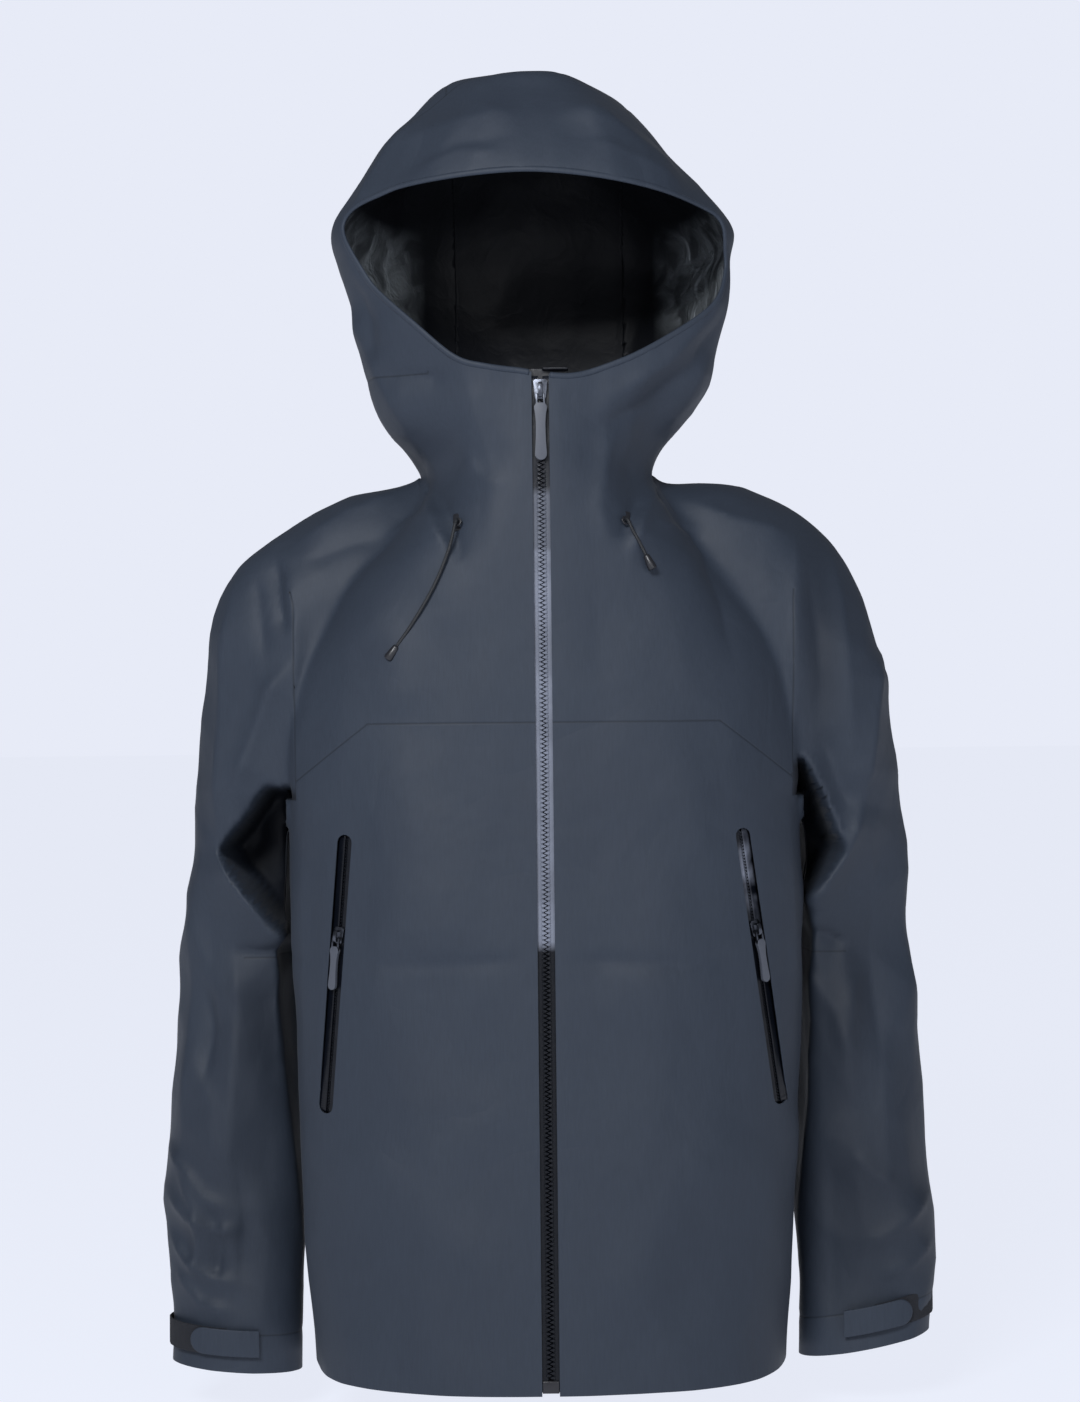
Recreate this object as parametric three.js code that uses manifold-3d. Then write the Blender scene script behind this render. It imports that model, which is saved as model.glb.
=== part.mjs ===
// Hooded hardshell jacket, men's medium, standing in the shape of the body that wears it.
// Millimetres, +Z up, the front faces -Y and the wearer's left is +X.
// Shapes are worked out in garment heights, measured up from the bottom of the front hem.
// The finished group is then moved so that the hanger loop's bearing face is at the origin.
import * as THREE from "three";
import { mergeVertices } from "three/addons/utils/BufferGeometryUtils.js";
import Module from "manifold-3d";

const wasm = await Module();
wasm.setup();
const { Manifold, Mesh: ManifoldMesh } = wasm;

// ---- Driving dimensions ----
const chestWidth = 396; // across the torso at its widest, sleeves left out
const zipLength = 760; // front hem to chin, measured upright
const hemDepth = -150; // depth of the zip line at the hem
const chinDepth = -118; // and at the chin
const wall = 2.5; // laminated fabric with its seam allowance and tape
const gap = 0.3; // clearance between sewn or seated pieces
const sleeveRest = 1.5; // room between a hanging sleeve and the torso's side
const sideLine = -25; // depth of the torso's widest line
const tailDrop = 16; // how far the back hem hangs below the front
const cuffBand = 30; // height of the cuff's stitched band
const neckRise = 0.319; // how fast the neck seam climbs towards the back
const brimLine = -66; // depth of the seam behind the laminated brim
const placketHalf = 8.3; // half width of the slot between the front panels

// Places on the garment follow its size: across with the chest, up with the zip.
const across = (x) => (x * chestWidth) / 396;
const up = (z) => (z * zipLength) / 760;
const armpit = up(440);
const yokeSeam = up(498); // the chest seam at the zip
const backSeam = up(520);
const elbowSeam = up(316);
const neckFront = up(634); // the neck seam at the zip
const chinSeam = up(762); // between the collar and the hood's sides
const crownHalf = across(70); // half width of the hood's centre strip
const brimHalf = across(112);
const armhole = across(189); // distance across of the sleeve seams

const zipPitchAngle = -Math.atan2(chinDepth - hemDepth, zipLength);
const zipRun = Math.hypot(chinDepth - hemDepth, zipLength);
const frontAt = (z) => hemDepth + ((chinDepth - hemDepth) * z) / zipLength;

// Torso sections: height, half width, depth of the back.
const torsoStations = [
  [-60, 181, 116],
  [0, 184, 119],
  [100, 188, 124],
  [200, 194, 127],
  [300, 197, 127],
  [400, 198, 125],
  [470, 197, 122],
  [540, 186, 118],
  [600, 154, 108],
  [640, 116, 95],
  [668, 90, 84],
  [690, 84, 80],
].map(([z, half, back]) => ({ z: up(z), half: across(half), front: frontAt(up(z)), back, power: 2.4 }));

// Hood sections: height, half width, depth of the front, depth of the back.
const hoodStations = [
  [600, 80, frontAt(up(600)), 76],
  [650, 84, frontAt(up(650)), 80],
  [690, 91, frontAt(up(690)), 83],
  [724, 118, frontAt(724), 100],
  [760, 136, chinDepth, 120],
  [800, 143, -121, 137],
  [844, 153, -127, 148],
  [874, 158, -131, 150],
  [902, 147, -133, 146],
  [930, 127, -123, 132],
  [957, 106, -105, 108],
  [979, 80, -86, 66],
  [991, 48, -68, 6],
].map(([z, half, front, back]) => ({ z: up(z), half: across(half), front, back, power: 2.3 }));

// Sleeve sections from inside the shoulder to past the cuff:
// distance out, depth, height, tilt of the arm in degrees below level, half width, half depth.
const sleeveStations = {
  right: [
    [58, 2, 628, 23, 52, 56],
    [114, 3, 609, 30, 64, 62],
    [150, 5, 587, 45, 69, 66],
    [169, 8, 560, 62, 74, 69],
    [178, 12, 520, 78, 76, 70],
    [192, 20, 436, 80, 72, 68],
    [209, 28, 357, 79, 66, 64],
    [222, 31, 312, 78, 62, 61],
    [235, 30, 258, 80, 58, 57],
    [243, 26, 199, 84, 56, 53],
    [247.6, 18, 120, 88, 55, 46],
    [248, 12, 60, 90, 52, 38],
    [248, 12, -60, 90, 52, 38],
  ],
  left: [
    [58, 2, 630, 23, 52, 56],
    [114, 3, 612, 30, 66, 62],
    [156, 5, 594, 42, 71, 66],
    [182, 8, 562, 62, 76, 69],
    [193, 12, 520, 78, 77, 70],
    [203, 20, 440, 82, 73, 68],
    [216, 28, 357, 81, 68, 64],
    [226, 31, 312, 80, 63, 61],
    [237, 30, 258, 81, 59, 57],
    [244, 26, 199, 84, 56, 53],
    [248, 18, 120, 88, 54, 46],
    [250, 12, 60, 90, 52, 38],
    [250, 12, -60, 90, 52, 38],
  ],
};

const sleeveShift = across(190) - 190; // a wider torso carries its sleeves further out
for (const stations of Object.values(sleeveStations))
  for (const station of stations) {
    station[0] += sleeveShift;
    station[2] = up(station[2]);
  }

// Cuff hem heights at the body side and at the outside of each sleeve.
const cuffHem = { right: { inner: -13, outer: -3 }, left: { inner: -7, outer: 18 } };

// ---- Solids ----

/** A closed mesh's geometry, as a manifold solid facing outwards. */
function solidFrom(geometry, matrix = new THREE.Matrix4()) {
  const bare = geometry.clone().applyMatrix4(matrix);
  for (const name of Object.keys(bare.attributes)) if (name !== "position") bare.deleteAttribute(name);
  const merged = mergeVertices(bare, 1e-4);
  const triVerts = new Uint32Array(merged.index.array);
  const vertProperties = new Float32Array(merged.attributes.position.array);
  const build = () => new Manifold(new ManifoldMesh({ numProp: 3, vertProperties, triVerts }));
  const made = build();
  if (made.volume() > 0) return made;
  for (let i = 0; i < triVerts.length; i += 3) {
    const kept = triVerts[i];
    triVerts[i] = triVerts[i + 1];
    triVerts[i + 1] = kept;
  }
  return build();
}

/** A manifold solid as a BufferGeometry. */
function geometryFrom(solid) {
  const mesh = solid.getMesh();
  const geometry = new THREE.BufferGeometry();
  geometry.setAttribute("position", new THREE.BufferAttribute(new Float32Array(mesh.vertProperties), 3));
  geometry.setIndex(new THREE.BufferAttribute(new Uint32Array(mesh.triVerts), 1));
  return geometry;
}

/** A closed solid through rings of points, each ring capped to its middle at the two ends. */
function loftThrough(rings) {
  const count = rings[0].length;
  const points = rings.flat();
  const middle = (ring) =>
    ring.reduce((sum, point) => sum.add(point), new THREE.Vector3()).divideScalar(ring.length);
  const first = points.push(middle(rings[0])) - 1;
  const last = points.push(middle(rings[rings.length - 1])) - 1;
  const index = [];
  for (let r = 0; r < rings.length - 1; r++)
    for (let i = 0; i < count; i++) {
      const a = r * count + i;
      const b = r * count + ((i + 1) % count);
      index.push(a, b, b + count, a, b + count, a + count);
    }
  const top = (rings.length - 1) * count;
  for (let i = 0; i < count; i++) {
    index.push(first, (i + 1) % count, i);
    index.push(last, top + i, top + ((i + 1) % count));
  }
  const geometry = new THREE.BufferGeometry().setFromPoints(points);
  geometry.setIndex(index);
  return solidFrom(geometry);
}

/** One point of a superellipse that is deeper or shallower in front than behind. */
function sectionPoint({ half, front, back, power }, angle, inset = 0) {
  const shape = (value) => Math.sign(value) * Math.abs(value) ** (2 / power);
  const across = shape(Math.cos(angle));
  const along = shape(Math.sin(angle));
  const depth = along < 0 ? sideLine - front - inset : back - sideLine - inset;
  return [(half - inset) * across, sideLine + depth * along];
}

/** A stack of level sections as a solid. A positive inset makes the room inside the wall. */
function levelLoft(stations, sides, inset = 0) {
  const lift = (station, i) => station.z - (i === stations.length - 1 ? Math.max(inset, 0) : 0);
  return loftThrough(
    stations.map((station, i) =>
      Array.from({ length: sides }, (_, k) => {
        const [x, y] = sectionPoint(station, (2 * Math.PI * k) / sides, inset);
        return new THREE.Vector3(x, y, lift(station, i));
      }),
    ),
  );
}

/** A sleeve as a solid; side is 1 for the wearer's left and -1 for the right. */
function sleeveLoft(stations, side, sides, inset = 0) {
  return loftThrough(
    stations.map(([x, y, z, tilt, halfWidth, halfDepth]) => {
      const lean = THREE.MathUtils.degToRad(tilt);
      return Array.from({ length: sides }, (_, k) => {
        const angle = (2 * Math.PI * k) / sides;
        const out = (halfWidth - inset) * Math.cos(angle);
        return new THREE.Vector3(
          side * (x + out * Math.sin(lean)),
          y + (halfDepth - inset) * Math.sin(angle),
          z + out * Math.cos(lean),
        );
      });
    }),
  );
}

function block(x0, x1, y0, y1, z0, z1) {
  const geometry = new THREE.BoxGeometry(x1 - x0, y1 - y0, z1 - z0);
  geometry.translate((x0 + x1) / 2, (y0 + y1) / 2, (z0 + z1) / 2);
  return solidFrom(geometry);
}

/** A prism along X with its outline given as [y, z] points. */
function prismAlongX(outline, x0, x1) {
  const shape = new THREE.Shape(outline.map(([y, z]) => new THREE.Vector2(y, z)));
  const geometry = new THREE.ExtrudeGeometry(shape, { depth: x1 - x0, bevelEnabled: false });
  const turn = new THREE.Matrix4().makeBasis(
    new THREE.Vector3(0, 1, 0),
    new THREE.Vector3(0, 0, 1),
    new THREE.Vector3(1, 0, 0),
  );
  return solidFrom(geometry, turn.setPosition(x0, 0, 0));
}

/** A prism along Y with its outline given as a shape of (x, z). */
function prismAlongY(shape, y0, y1, segments = 10) {
  const geometry = new THREE.ExtrudeGeometry(shape, {
    depth: y1 - y0,
    bevelEnabled: false,
    curveSegments: segments,
  });
  const turn = new THREE.Matrix4().makeBasis(
    new THREE.Vector3(1, 0, 0),
    new THREE.Vector3(0, 0, 1),
    new THREE.Vector3(0, -1, 0),
  );
  return solidFrom(geometry, turn.setPosition(0, y1, 0));
}

/** A prism along Z with its outline given as [x, y] points. */
function prismAlongZ(outline, z0, z1) {
  const shape = new THREE.Shape(outline.map(([x, y]) => new THREE.Vector2(x, y)));
  const geometry = new THREE.ExtrudeGeometry(shape, { depth: z1 - z0, bevelEnabled: false });
  return solidFrom(geometry, new THREE.Matrix4().makeTranslation(0, 0, z0));
}

function shapeOf(points) {
  return new THREE.Shape(points.map(([x, z]) => new THREE.Vector2(x, z)));
}

/** A bar with round ends, width across X and length along Z, centred. */
function stadium(width, length) {
  const r = width / 2;
  const straight = length / 2 - r;
  const shape = new THREE.Shape();
  shape.moveTo(-r, -straight);
  shape.absarc(0, -straight, r, Math.PI, 2 * Math.PI, false);
  shape.lineTo(r, straight);
  shape.absarc(0, straight, r, 0, Math.PI, false);
  shape.closePath();
  return shape;
}

const far = 600; // beyond every edge of the garment
const sideOf = { right: -1, left: 1 };
const inFrontOf = (y) => block(-far, far, -far, y, -far, far * 3);
const behind = (y) => block(-far, far, y, far, -far, far * 3);
const above = (z) => block(-far, far, -far, far, z, far * 3);
const below = (z) => block(-far, far, -far, far, -far, z);
const between = (x0, x1) => block(x0, x1, -far, far, -far, far * 3);
/** Everything on one side of the middle, beyond a distance across. */
const beyond = (side, distance) => (side > 0 ? between(distance, far) : between(-far, -distance));

// ---- The shell: torso, sleeves and hood as one hollow skin ----

const torsoSides = 32;
const sleeveSides = 16;
const hoodSides = 28;

const torsoAt = (inset) => levelLoft(torsoStations, torsoSides, inset);

/** The whole garment's volume, sleeves clear of the torso below the armpit. */
function garment(inset) {
  const keepOff = torsoAt(-(sleeveRest + inset)).intersect(below(armpit + inset));
  const sleeves = sleeveLoft(sleeveStations.left, 1, sleeveSides, inset)
    .add(sleeveLoft(sleeveStations.right, -1, sleeveSides, inset))
    .subtract(keepOff);
  return torsoAt(inset).add(levelLoft(hoodStations, hoodSides, inset)).add(sleeves);
}

/** The outline of the face opening, seen from the front. */
function faceOutline() {
  const half = [
    [0, 760],
    [45, 766],
    [78, 779],
    [106, 801],
    [130, 830],
    [145, 855],
    [148, 875],
    [124, 893],
    [82, 905],
    [45, 911],
    [0, 913],
  ];
  const mirrored = half.slice(1, -1).reverse().map(([x, z]) => [-x, z]);
  const curve = new THREE.CatmullRomCurve3(
    [...half, ...mirrored].map(([x, z]) => new THREE.Vector3(across(x), 0, up(z))),
    true,
    "centripetal",
  );
  return shapeOf(curve.getPoints(44).slice(0, -1).map((point) => [point.x, point.z]));
}

const faceOpening = prismAlongY(faceOutline(), -far, -20);
const hemCut = prismAlongX(
  [
    [-far, -far],
    [-far, 0],
    [-100, 0],
    [-20, 5],
    [60, -tailDrop * 0.5],
    [110, -tailDrop],
    [far, -tailDrop],
    [far, -far],
  ],
  -far,
  far,
);

/** What lies below a cuff's slanting hem, on one side of the garment. */
function cuffCut(side, hem, raise = 0) {
  const reach = [190 + sleeveShift, 320 + sleeveShift];
  const points = [
    [side * reach[0], hem.inner + raise],
    [side * reach[1], hem.outer + raise],
    [side * reach[1], -far],
    [side * reach[0], -far],
  ];
  return prismAlongY(shapeOf(side > 0 ? points : points.reverse()), -far, far);
}

/** The torso's share of the shell; grow it to find what the sleeves are clear of. */
function torsoDomain(grow) {
  const upper = between(-armhole - grow, armhole + grow).intersect(above(armpit));
  return torsoAt(-sleeveRest / 2).intersect(below(armpit + grow)).add(upper);
}

const neckLine = (y) => neckFront + (y - frontAt(neckFront)) * neckRise;

/** What lies above the neck seam, which climbs towards the back. */
function aboveNeck(shift) {
  const front = neckLine(-far) + shift;
  const rear = neckLine(far) + shift;
  return prismAlongX([[-far, front], [far, rear], [far, far * 3], [-far, far * 3]], -far, far);
}

// ---- The closures' own frames ----

/** The front zip's frame: its origin is at the chin, +Z runs up the zip and +Y goes inwards. */
const zipFrame = new THREE.Matrix4()
  .makeRotationX(zipPitchAngle)
  .setPosition(0, chinDepth, zipLength);

/** The section at a height, between the two stations around it. */
function sectionAt(stations, z) {
  const next = stations.findIndex((station) => station.z >= z);
  const [low, high] = [stations[next - 1], stations[next]];
  const share = (z - low.z) / (high.z - low.z);
  const mix = (key) => THREE.MathUtils.lerp(low[key], high[key], share);
  return { half: mix("half"), front: mix("front"), back: mix("back"), power: low.power };
}

/** The depth of the skin at a place given by distance across and height, in front or behind. */
function skinDepth(stations, x, z, face) {
  const section = sectionAt(stations, z);
  const out = Math.min(1, Math.abs(x) / section.half);
  return sideLine + (section[face] - sideLine) * (1 - out ** section.power) ** (1 / section.power);
}

const onTorso = (x, z) => new THREE.Vector3(x, skinDepth(torsoStations, x, z, "front"), z);

/** A frame on the skin: +Z runs from low to high, +Y goes inwards, the origin is halfway between. */
function skinFrame(place, low, high) {
  const bottom = place(...low);
  const top = place(...high);
  const rise = top.clone().sub(bottom).normalize();
  const step = 4;
  const middle = bottom.clone().add(top).multiplyScalar(0.5);
  const sideways = place(middle.x + step, middle.z).sub(place(middle.x - step, middle.z)).normalize();
  const inward = rise.clone().cross(sideways).normalize();
  const right = inward.clone().cross(rise).normalize();
  return new THREE.Matrix4().makeBasis(right, inward, rise).setPosition(middle);
}

const pocketSlot = 11.5; // width of the opening cut for the pocket zip
const pocketLines = {
  right: { low: [across(-168.5), up(309) - 100], high: [across(-151.5), up(309) + 100] },
  left: { low: [across(177.5), up(311) - 100], high: [across(149.5), up(311) + 100] },
};
const pocketFrame = Object.fromEntries(
  Object.entries(pocketLines).map(([side, { low, high }]) => [side, skinFrame(onTorso, low, high)]),
);
const pocketLength = Object.fromEntries(
  Object.entries(pocketLines).map(([side, { low, high }]) => [
    side,
    onTorso(...low).distanceTo(onTorso(...high)),
  ]),
);

// ---- Zips ----

const tapeThick = 1;
const frontZip = {
  tapePlane: wall + gap + tapeThick / 2, // middle of the tape, behind the panels' outer face
  tapeHalf: 14,
  chainHalf: 3, // half width of the closed chain
  chainFront: 1.4, // how far the chain stands in front of the tape's middle
  chainBack: 1.4,
  postHalf: 0.8,
  sliderHalf: 5.4,
  sliderLength: 15,
  plate: 1.3,
  stand: 0, // how far the pull's bar stands off the slider's face, past its clearance
};
const pocketZip = {
  tapePlane: wall + gap + tapeThick / 2,
  tapeHalf: 9,
  chainHalf: 2.6,
  chainFront: 0.5,
  chainBack: 1.5,
  postHalf: 0.8,
  sliderHalf: 4.6,
  sliderLength: 12.5,
  plate: 1.2,
  stand: 1.8, // lets the tab pass over the end of the slot
};
const running = 0.4; // clearance of a slider around its chain and tape
const postRoom = 0.4; // clearance of its post in the channel between the two tapes
const crownHalfWidth = 1.4;
const barRadius = 0.7;

/** Half of a zip's tape, from the chain's channel outwards. */
function zipTape(zip, side, z0, z1) {
  const inner = zip.chainHalf + gap;
  const [x0, x1] = side > 0 ? [inner, zip.tapeHalf] : [-zip.tapeHalf, -inner];
  return block(x0, x1, zip.tapePlane - tapeThick / 2, zip.tapePlane + tapeThick / 2, z0, z1);
}

/** One side of the chain, clear of the slider's post. */
function zipChain(zip, side, z0, z1) {
  const inner = zip.postHalf + postRoom;
  const [x0, x1] = side > 0 ? [inner, zip.chainHalf] : [-zip.chainHalf, -inner];
  return block(x0, x1, zip.tapePlane - zip.chainFront, zip.tapePlane + zip.chainBack, z0, z1);
}

/** A pocket zip has its coil at the back, so tape and coil are one strip with a lip. */
function coilTape(zip, side, z0, z1) {
  const inner = zip.postHalf + postRoom;
  const [x0, x1] = side > 0 ? [inner, zip.tapeHalf] : [-zip.tapeHalf, -inner];
  return block(x0, x1, zip.tapePlane - tapeThick / 2, zip.tapePlane + tapeThick / 2, z0, z1).add(
    zipChain(zip, side, z0, z1),
  );
}

/** Depths of a slider's plates, from its outermost face to its innermost. */
function sliderDepths(zip) {
  const frontInside = zip.tapePlane - zip.chainFront - running;
  const backInside = zip.tapePlane + zip.chainBack + running;
  return { front: frontInside - zip.plate, frontInside, backInside, back: backInside + zip.plate };
}

/** A slider with its top edge at z = 0: two plates, their side flanges, the post and the crown. */
function zipSlider(zip) {
  const depths = sliderDepths(zip);
  const { sliderHalf: half, sliderLength: length } = zip;
  const taper = 1.2;
  const plan = shapeOf([
    [-half, -1.5],
    [-half + 1.5, 0],
    [half - 1.5, 0],
    [half, -1.5],
    [half - taper, -length + 1],
    [half - taper - 1, -length],
    [-half + taper + 1, -length],
    [-half + taper, -length + 1],
  ].reverse());
  const flangeIn = zip.chainHalf + running;
  const tapeFront = zip.tapePlane - tapeThick / 2 - running;
  const tapeBack = zip.tapePlane + tapeThick / 2 + running;
  const channel = block(-flangeIn, flangeIn, depths.frontInside, depths.backInside, -length - 1, 1);
  const tapeSlot = block(-half - 1, half + 1, tapeFront, tapeBack, -length - 1, 1);
  const [postFront, postBack] = [depths.frontInside - 0.2, depths.backInside + 0.2];
  const post = block(-zip.postHalf, zip.postHalf, postFront, postBack, -4.5, -0.5);
  return prismAlongY(plan, depths.front, depths.back)
    .subtract(channel)
    .subtract(tapeSlot)
    .add(post)
    .add(zipCrown(zip));
}

/** The arch on the slider's face that the pull link hangs from. */
function zipCrown(zip) {
  const { front } = sliderDepths(zip);
  const { high, low, height, thick } = crownSize(zip);
  const face = front + 0.2;
  const arch = prismAlongX(
    [
      [face, high],
      [front - height + 1.2, high],
      [front - height, high - 1.6],
      [front - height, low + 1.6],
      [front - height + 1.2, low],
      [face, low],
    ],
    -crownHalfWidth,
    crownHalfWidth,
  );
  const room = block(-5, 5, front - height + thick, front, low + thick, high - thick);
  return arch.subtract(room);
}

function crownSize(zip) {
  return { high: -2.5, low: -zip.sliderLength + 1.5, height: 3.3 + zip.stand, thick: 1 };
}

/** Where the pull link's bar turns, in the slider's frame. */
function linkPivot(zip) {
  const { front } = sliderDepths(zip);
  const { low, thick } = crownSize(zip);
  return { y: front - zip.stand - running - barRadius, z: low + thick + running + barRadius };
}

/** The wire ring between crown and puller. */
function pullLink(zip, drop) {
  const { y, z } = linkPivot(zip);
  const inner = crownHalfWidth + 0.7;
  const outer = inner + 2 * barRadius;
  const bar = (height) => {
    const rod = new THREE.CylinderGeometry(barRadius, barRadius, 2 * outer, 8);
    rod.rotateZ(Math.PI / 2);
    rod.translate(0, y, height);
    return solidFrom(rod);
  };
  const arm = (side) =>
    block(
      side > 0 ? inner : -outer,
      side > 0 ? outer : -inner,
      y - barRadius,
      y + barRadius,
      z - drop,
      z,
    );
  return bar(z).add(bar(z - drop)).add(arm(1)).add(arm(-1));
}

/** The moulded tab, wide at its head, waisted, and round at its tip, closed around the link's lower bar. */
function pullTab(zip, drop, size) {
  const { y, z } = linkPivot(zip);
  const top = z - drop + barRadius + 1.6;
  const bottom = top - size.length;
  const shape = new THREE.Shape();
  shape.moveTo(-size.head * 0.32, top);
  shape.lineTo(size.head * 0.32, top);
  shape.lineTo(size.head / 2, top - 2.6);
  shape.lineTo(size.head / 2, top - 4.2);
  shape.bezierCurveTo(
    size.waist / 2, top - size.length * 0.25,
    size.waist / 2, top - size.length * 0.5,
    size.tip / 2, bottom + size.tip * 0.6,
  );
  shape.absarc(0, bottom + size.tip / 2, size.tip / 2, 0, -Math.PI, true);
  shape.bezierCurveTo(
    -size.waist / 2, top - size.length * 0.5,
    -size.waist / 2, top - size.length * 0.25,
    -size.head / 2, top - 4.2,
  );
  shape.lineTo(-size.head / 2, top - 2.6);
  shape.closePath();
  const front = y - size.thick / 2 - 0.2;
  const tab = prismAlongY(shape, front, front + size.thick, 8);
  const bar = block(
    -size.head, size.head,
    y - barRadius - gap, y + barRadius + gap,
    z - drop - barRadius - gap, z - drop + barRadius + gap,
  );
  const inner = crownHalfWidth + 0.7;
  const arms = (side) =>
    block(
      side > 0 ? inner - gap : -size.head,
      side > 0 ? size.head : -inner + gap,
      y - barRadius - gap, y + barRadius + gap,
      z - drop - barRadius - gap, top + 1,
    );
  return tab.subtract(bar).subtract(arms(1)).subtract(arms(-1));
}

const frontPull = { drop: 9, tab: { length: 43, head: 9.6, waist: 6.4, tip: 8.8, thick: 2.8 } };
const pocketPull = { drop: 8, tab: { length: 33, head: 8, waist: 5, tip: 7, thick: 2.6 } };

// ---- The scene ----

const finishes = {
  shell: { color: 0x3d4654, roughness: 0.72, metalness: 0 },
  lining: { color: 0x23272f, roughness: 0.45, metalness: 0 },
  zipTape: { color: 0x2a2d38, roughness: 0.22, metalness: 0 },
  zipTeeth: { color: 0x1a1c22, roughness: 0.35, metalness: 0 },
  metal: { color: 0x9a9ca4, roughness: 0.3, metalness: 1 },
  puller: { color: 0x83858f, roughness: 0.5, metalness: 0 },
  cord: { color: 0x16181d, roughness: 0.8, metalness: 0 },
  plastic: { color: 0x17191e, roughness: 0.4, metalness: 0 },
  loopPatch: { color: 0x15171c, roughness: 0.95, metalness: 0 },
};
const materials = Object.fromEntries(
  Object.entries(finishes).map(([name, look]) => [name, new THREE.MeshStandardMaterial(look)]),
);

const jacket = new THREE.Group();
const atFrame = (frame, parent = jacket) => {
  const group = new THREE.Group();
  group.applyMatrix4(frame);
  parent.add(group);
  return group;
};
function place(parent, name, solid, finish) {
  const mesh = new THREE.Mesh(geometryFrom(solid), materials[finish]);
  mesh.name = name;
  parent.add(mesh);
  return mesh;
}

// ---- Shell panels ----

const zipSlot = block(-placketHalf, placketHalf, -far, -60, -far, zipLength + 20);
const half = gap / 2;

/** Room behind the panels' edges for a zip's tapes, open inwards. */
const tapeRoom = (zip, z0, z1) =>
  block(
    -zip.tapeHalf - gap,
    zip.tapeHalf + gap,
    zip.tapePlane - tapeThick / 2 - gap,
    30,
    z0 - gap,
    z1 + gap,
  );

const shell = garment(0)
  .subtract(garment(wall))
  .subtract(faceOpening)
  .subtract(hemCut)
  .subtract(cuffCut(1, cuffHem.left))
  .subtract(cuffCut(-1, cuffHem.right))
  .subtract(zipSlot)
  .subtract(tapeRoom(frontZip, -zipRun - 30, 30).transform(zipFrame.elements));

/** The chest seam runs level from the zip and turns down to the underarm. */
function yokeRegion(shift) {
  const edge = yokeSeam - 44 + shift;
  const level = yokeSeam + shift;
  const outline = shapeOf([
    [-far, edge],
    [-armhole, edge],
    [-across(133), level],
    [across(133), level],
    [armhole, edge],
    [far, edge],
    [far, far * 3],
    [-far, far * 3],
  ]);
  return prismAlongY(outline, -far, far);
}

/** The slot cut for a pocket zip and the room for its tapes behind the panel. */
function pocketCut(name) {
  const reach = pocketLength[name] / 2;
  const slot = prismAlongY(stadium(pocketSlot, 2 * reach + pocketSlot), -12, 12, 6);
  return slot.add(tapeRoom(pocketZip, -reach - 8, reach + 8)).transform(pocketFrame[name].elements);
}

// Where each drawcord leaves the collar, and where its end hangs, as places on the torso's front.
const cordRoutes = {
  right: [[-63, 649], [-68, 628], [-80, 600], [-96, 573], [-108, 556]],
  left: [[63, 649], [66, 641], [71, 632], [76, 622]],
};
for (const route of Object.values(cordRoutes))
  for (const point of route) {
    point[0] = across(point[0]);
    point[1] = up(point[1]);
  }
const cordRadius = 1.25;
const eyelet = { hole: 2, ring: 3.6, thick: 1.1 };
const lock = { half: 6, foot: -5, head: 9, front: wall + 0.6, back: wall + 9, bore: 1.8, button: 3.4 };
const buttonTop = 12.4;

/** The place a lock needs behind the wall it sits on. */
const lockRoom = () =>
  block(
    -lock.half - gap,
    lock.half + gap,
    lock.front - gap,
    lock.back + gap,
    lock.foot - gap,
    buttonTop + gap,
  );

const exitFrame = Object.fromEntries(
  Object.entries(cordRoutes).map(([side, [[x, z]]]) => [side, skinFrame(onTorso, [x, z - 4], [x, z + 4])]),
);

/** A round bar along the Y axis. */
function barAlongY(radius, y0, y1, x = 0, z = 0, sides = 16) {
  const rod = new THREE.CylinderGeometry(radius, radius, y1 - y0, sides);
  rod.translate(x, (y0 + y1) / 2, z);
  return solidFrom(rod);
}

function addTorsoPanels() {
  const torsoShell = shell.intersect(torsoDomain(0)).subtract(aboveNeck(-half));
  const sideSeam = 10; // depth of the side seam
  const shoulderSeam = 5;
  for (const [name, side] of Object.entries(sideOf)) {
    const front = torsoShell.intersect(beyond(side, 0));
    const panel = front.intersect(inFrontOf(sideSeam - half)).subtract(yokeRegion(-half));
    place(jacket, `front_panel_${name}`, panel.subtract(pocketCut(name)), "shell");
    const yoke = front.intersect(inFrontOf(shoulderSeam - half)).intersect(yokeRegion(half));
    place(jacket, `front_yoke_${name}`, yoke, "shell");
  }
  const back = torsoShell.intersect(behind(sideSeam + half));
  place(jacket, "back_panel", back.intersect(below(backSeam - half)), "shell");
  const upperBack = torsoShell.intersect(behind(shoulderSeam + half));
  place(jacket, "back_yoke", upperBack.intersect(above(backSeam + half)), "shell");
}

function addSleeves() {
  const sleeveShell = shell.subtract(torsoDomain(gap));
  for (const [name, side] of Object.entries(sideOf)) {
    const sleeve = sleeveShell.intersect(beyond(side, armhole - 40));
    const hem = cuffHem[name];
    place(jacket, `sleeve_upper_${name}`, sleeve.intersect(above(elbowSeam + half)), "shell");
    const lower = sleeve.intersect(below(elbowSeam - half)).subtract(cuffCut(side, hem, cuffBand + half));
    place(jacket, `sleeve_lower_${name}`, lower, "shell");
    place(jacket, `cuff_${name}`, sleeve.intersect(cuffCut(side, hem, cuffBand - half)), "shell");
  }
}

/** The centre strip runs from behind the brim, over the head and down to the neck seam. */
const crownRegion = (grow) =>
  between(-crownHalf - grow, crownHalf + grow).intersect(behind(brimLine + half - grow));

/** The stiff peak over the face. */
const brimRegion = (grow) =>
  between(-brimHalf - grow, brimHalf + grow)
    .intersect(inFrontOf(brimLine - half + grow))
    .intersect(above(up(885)));

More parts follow.
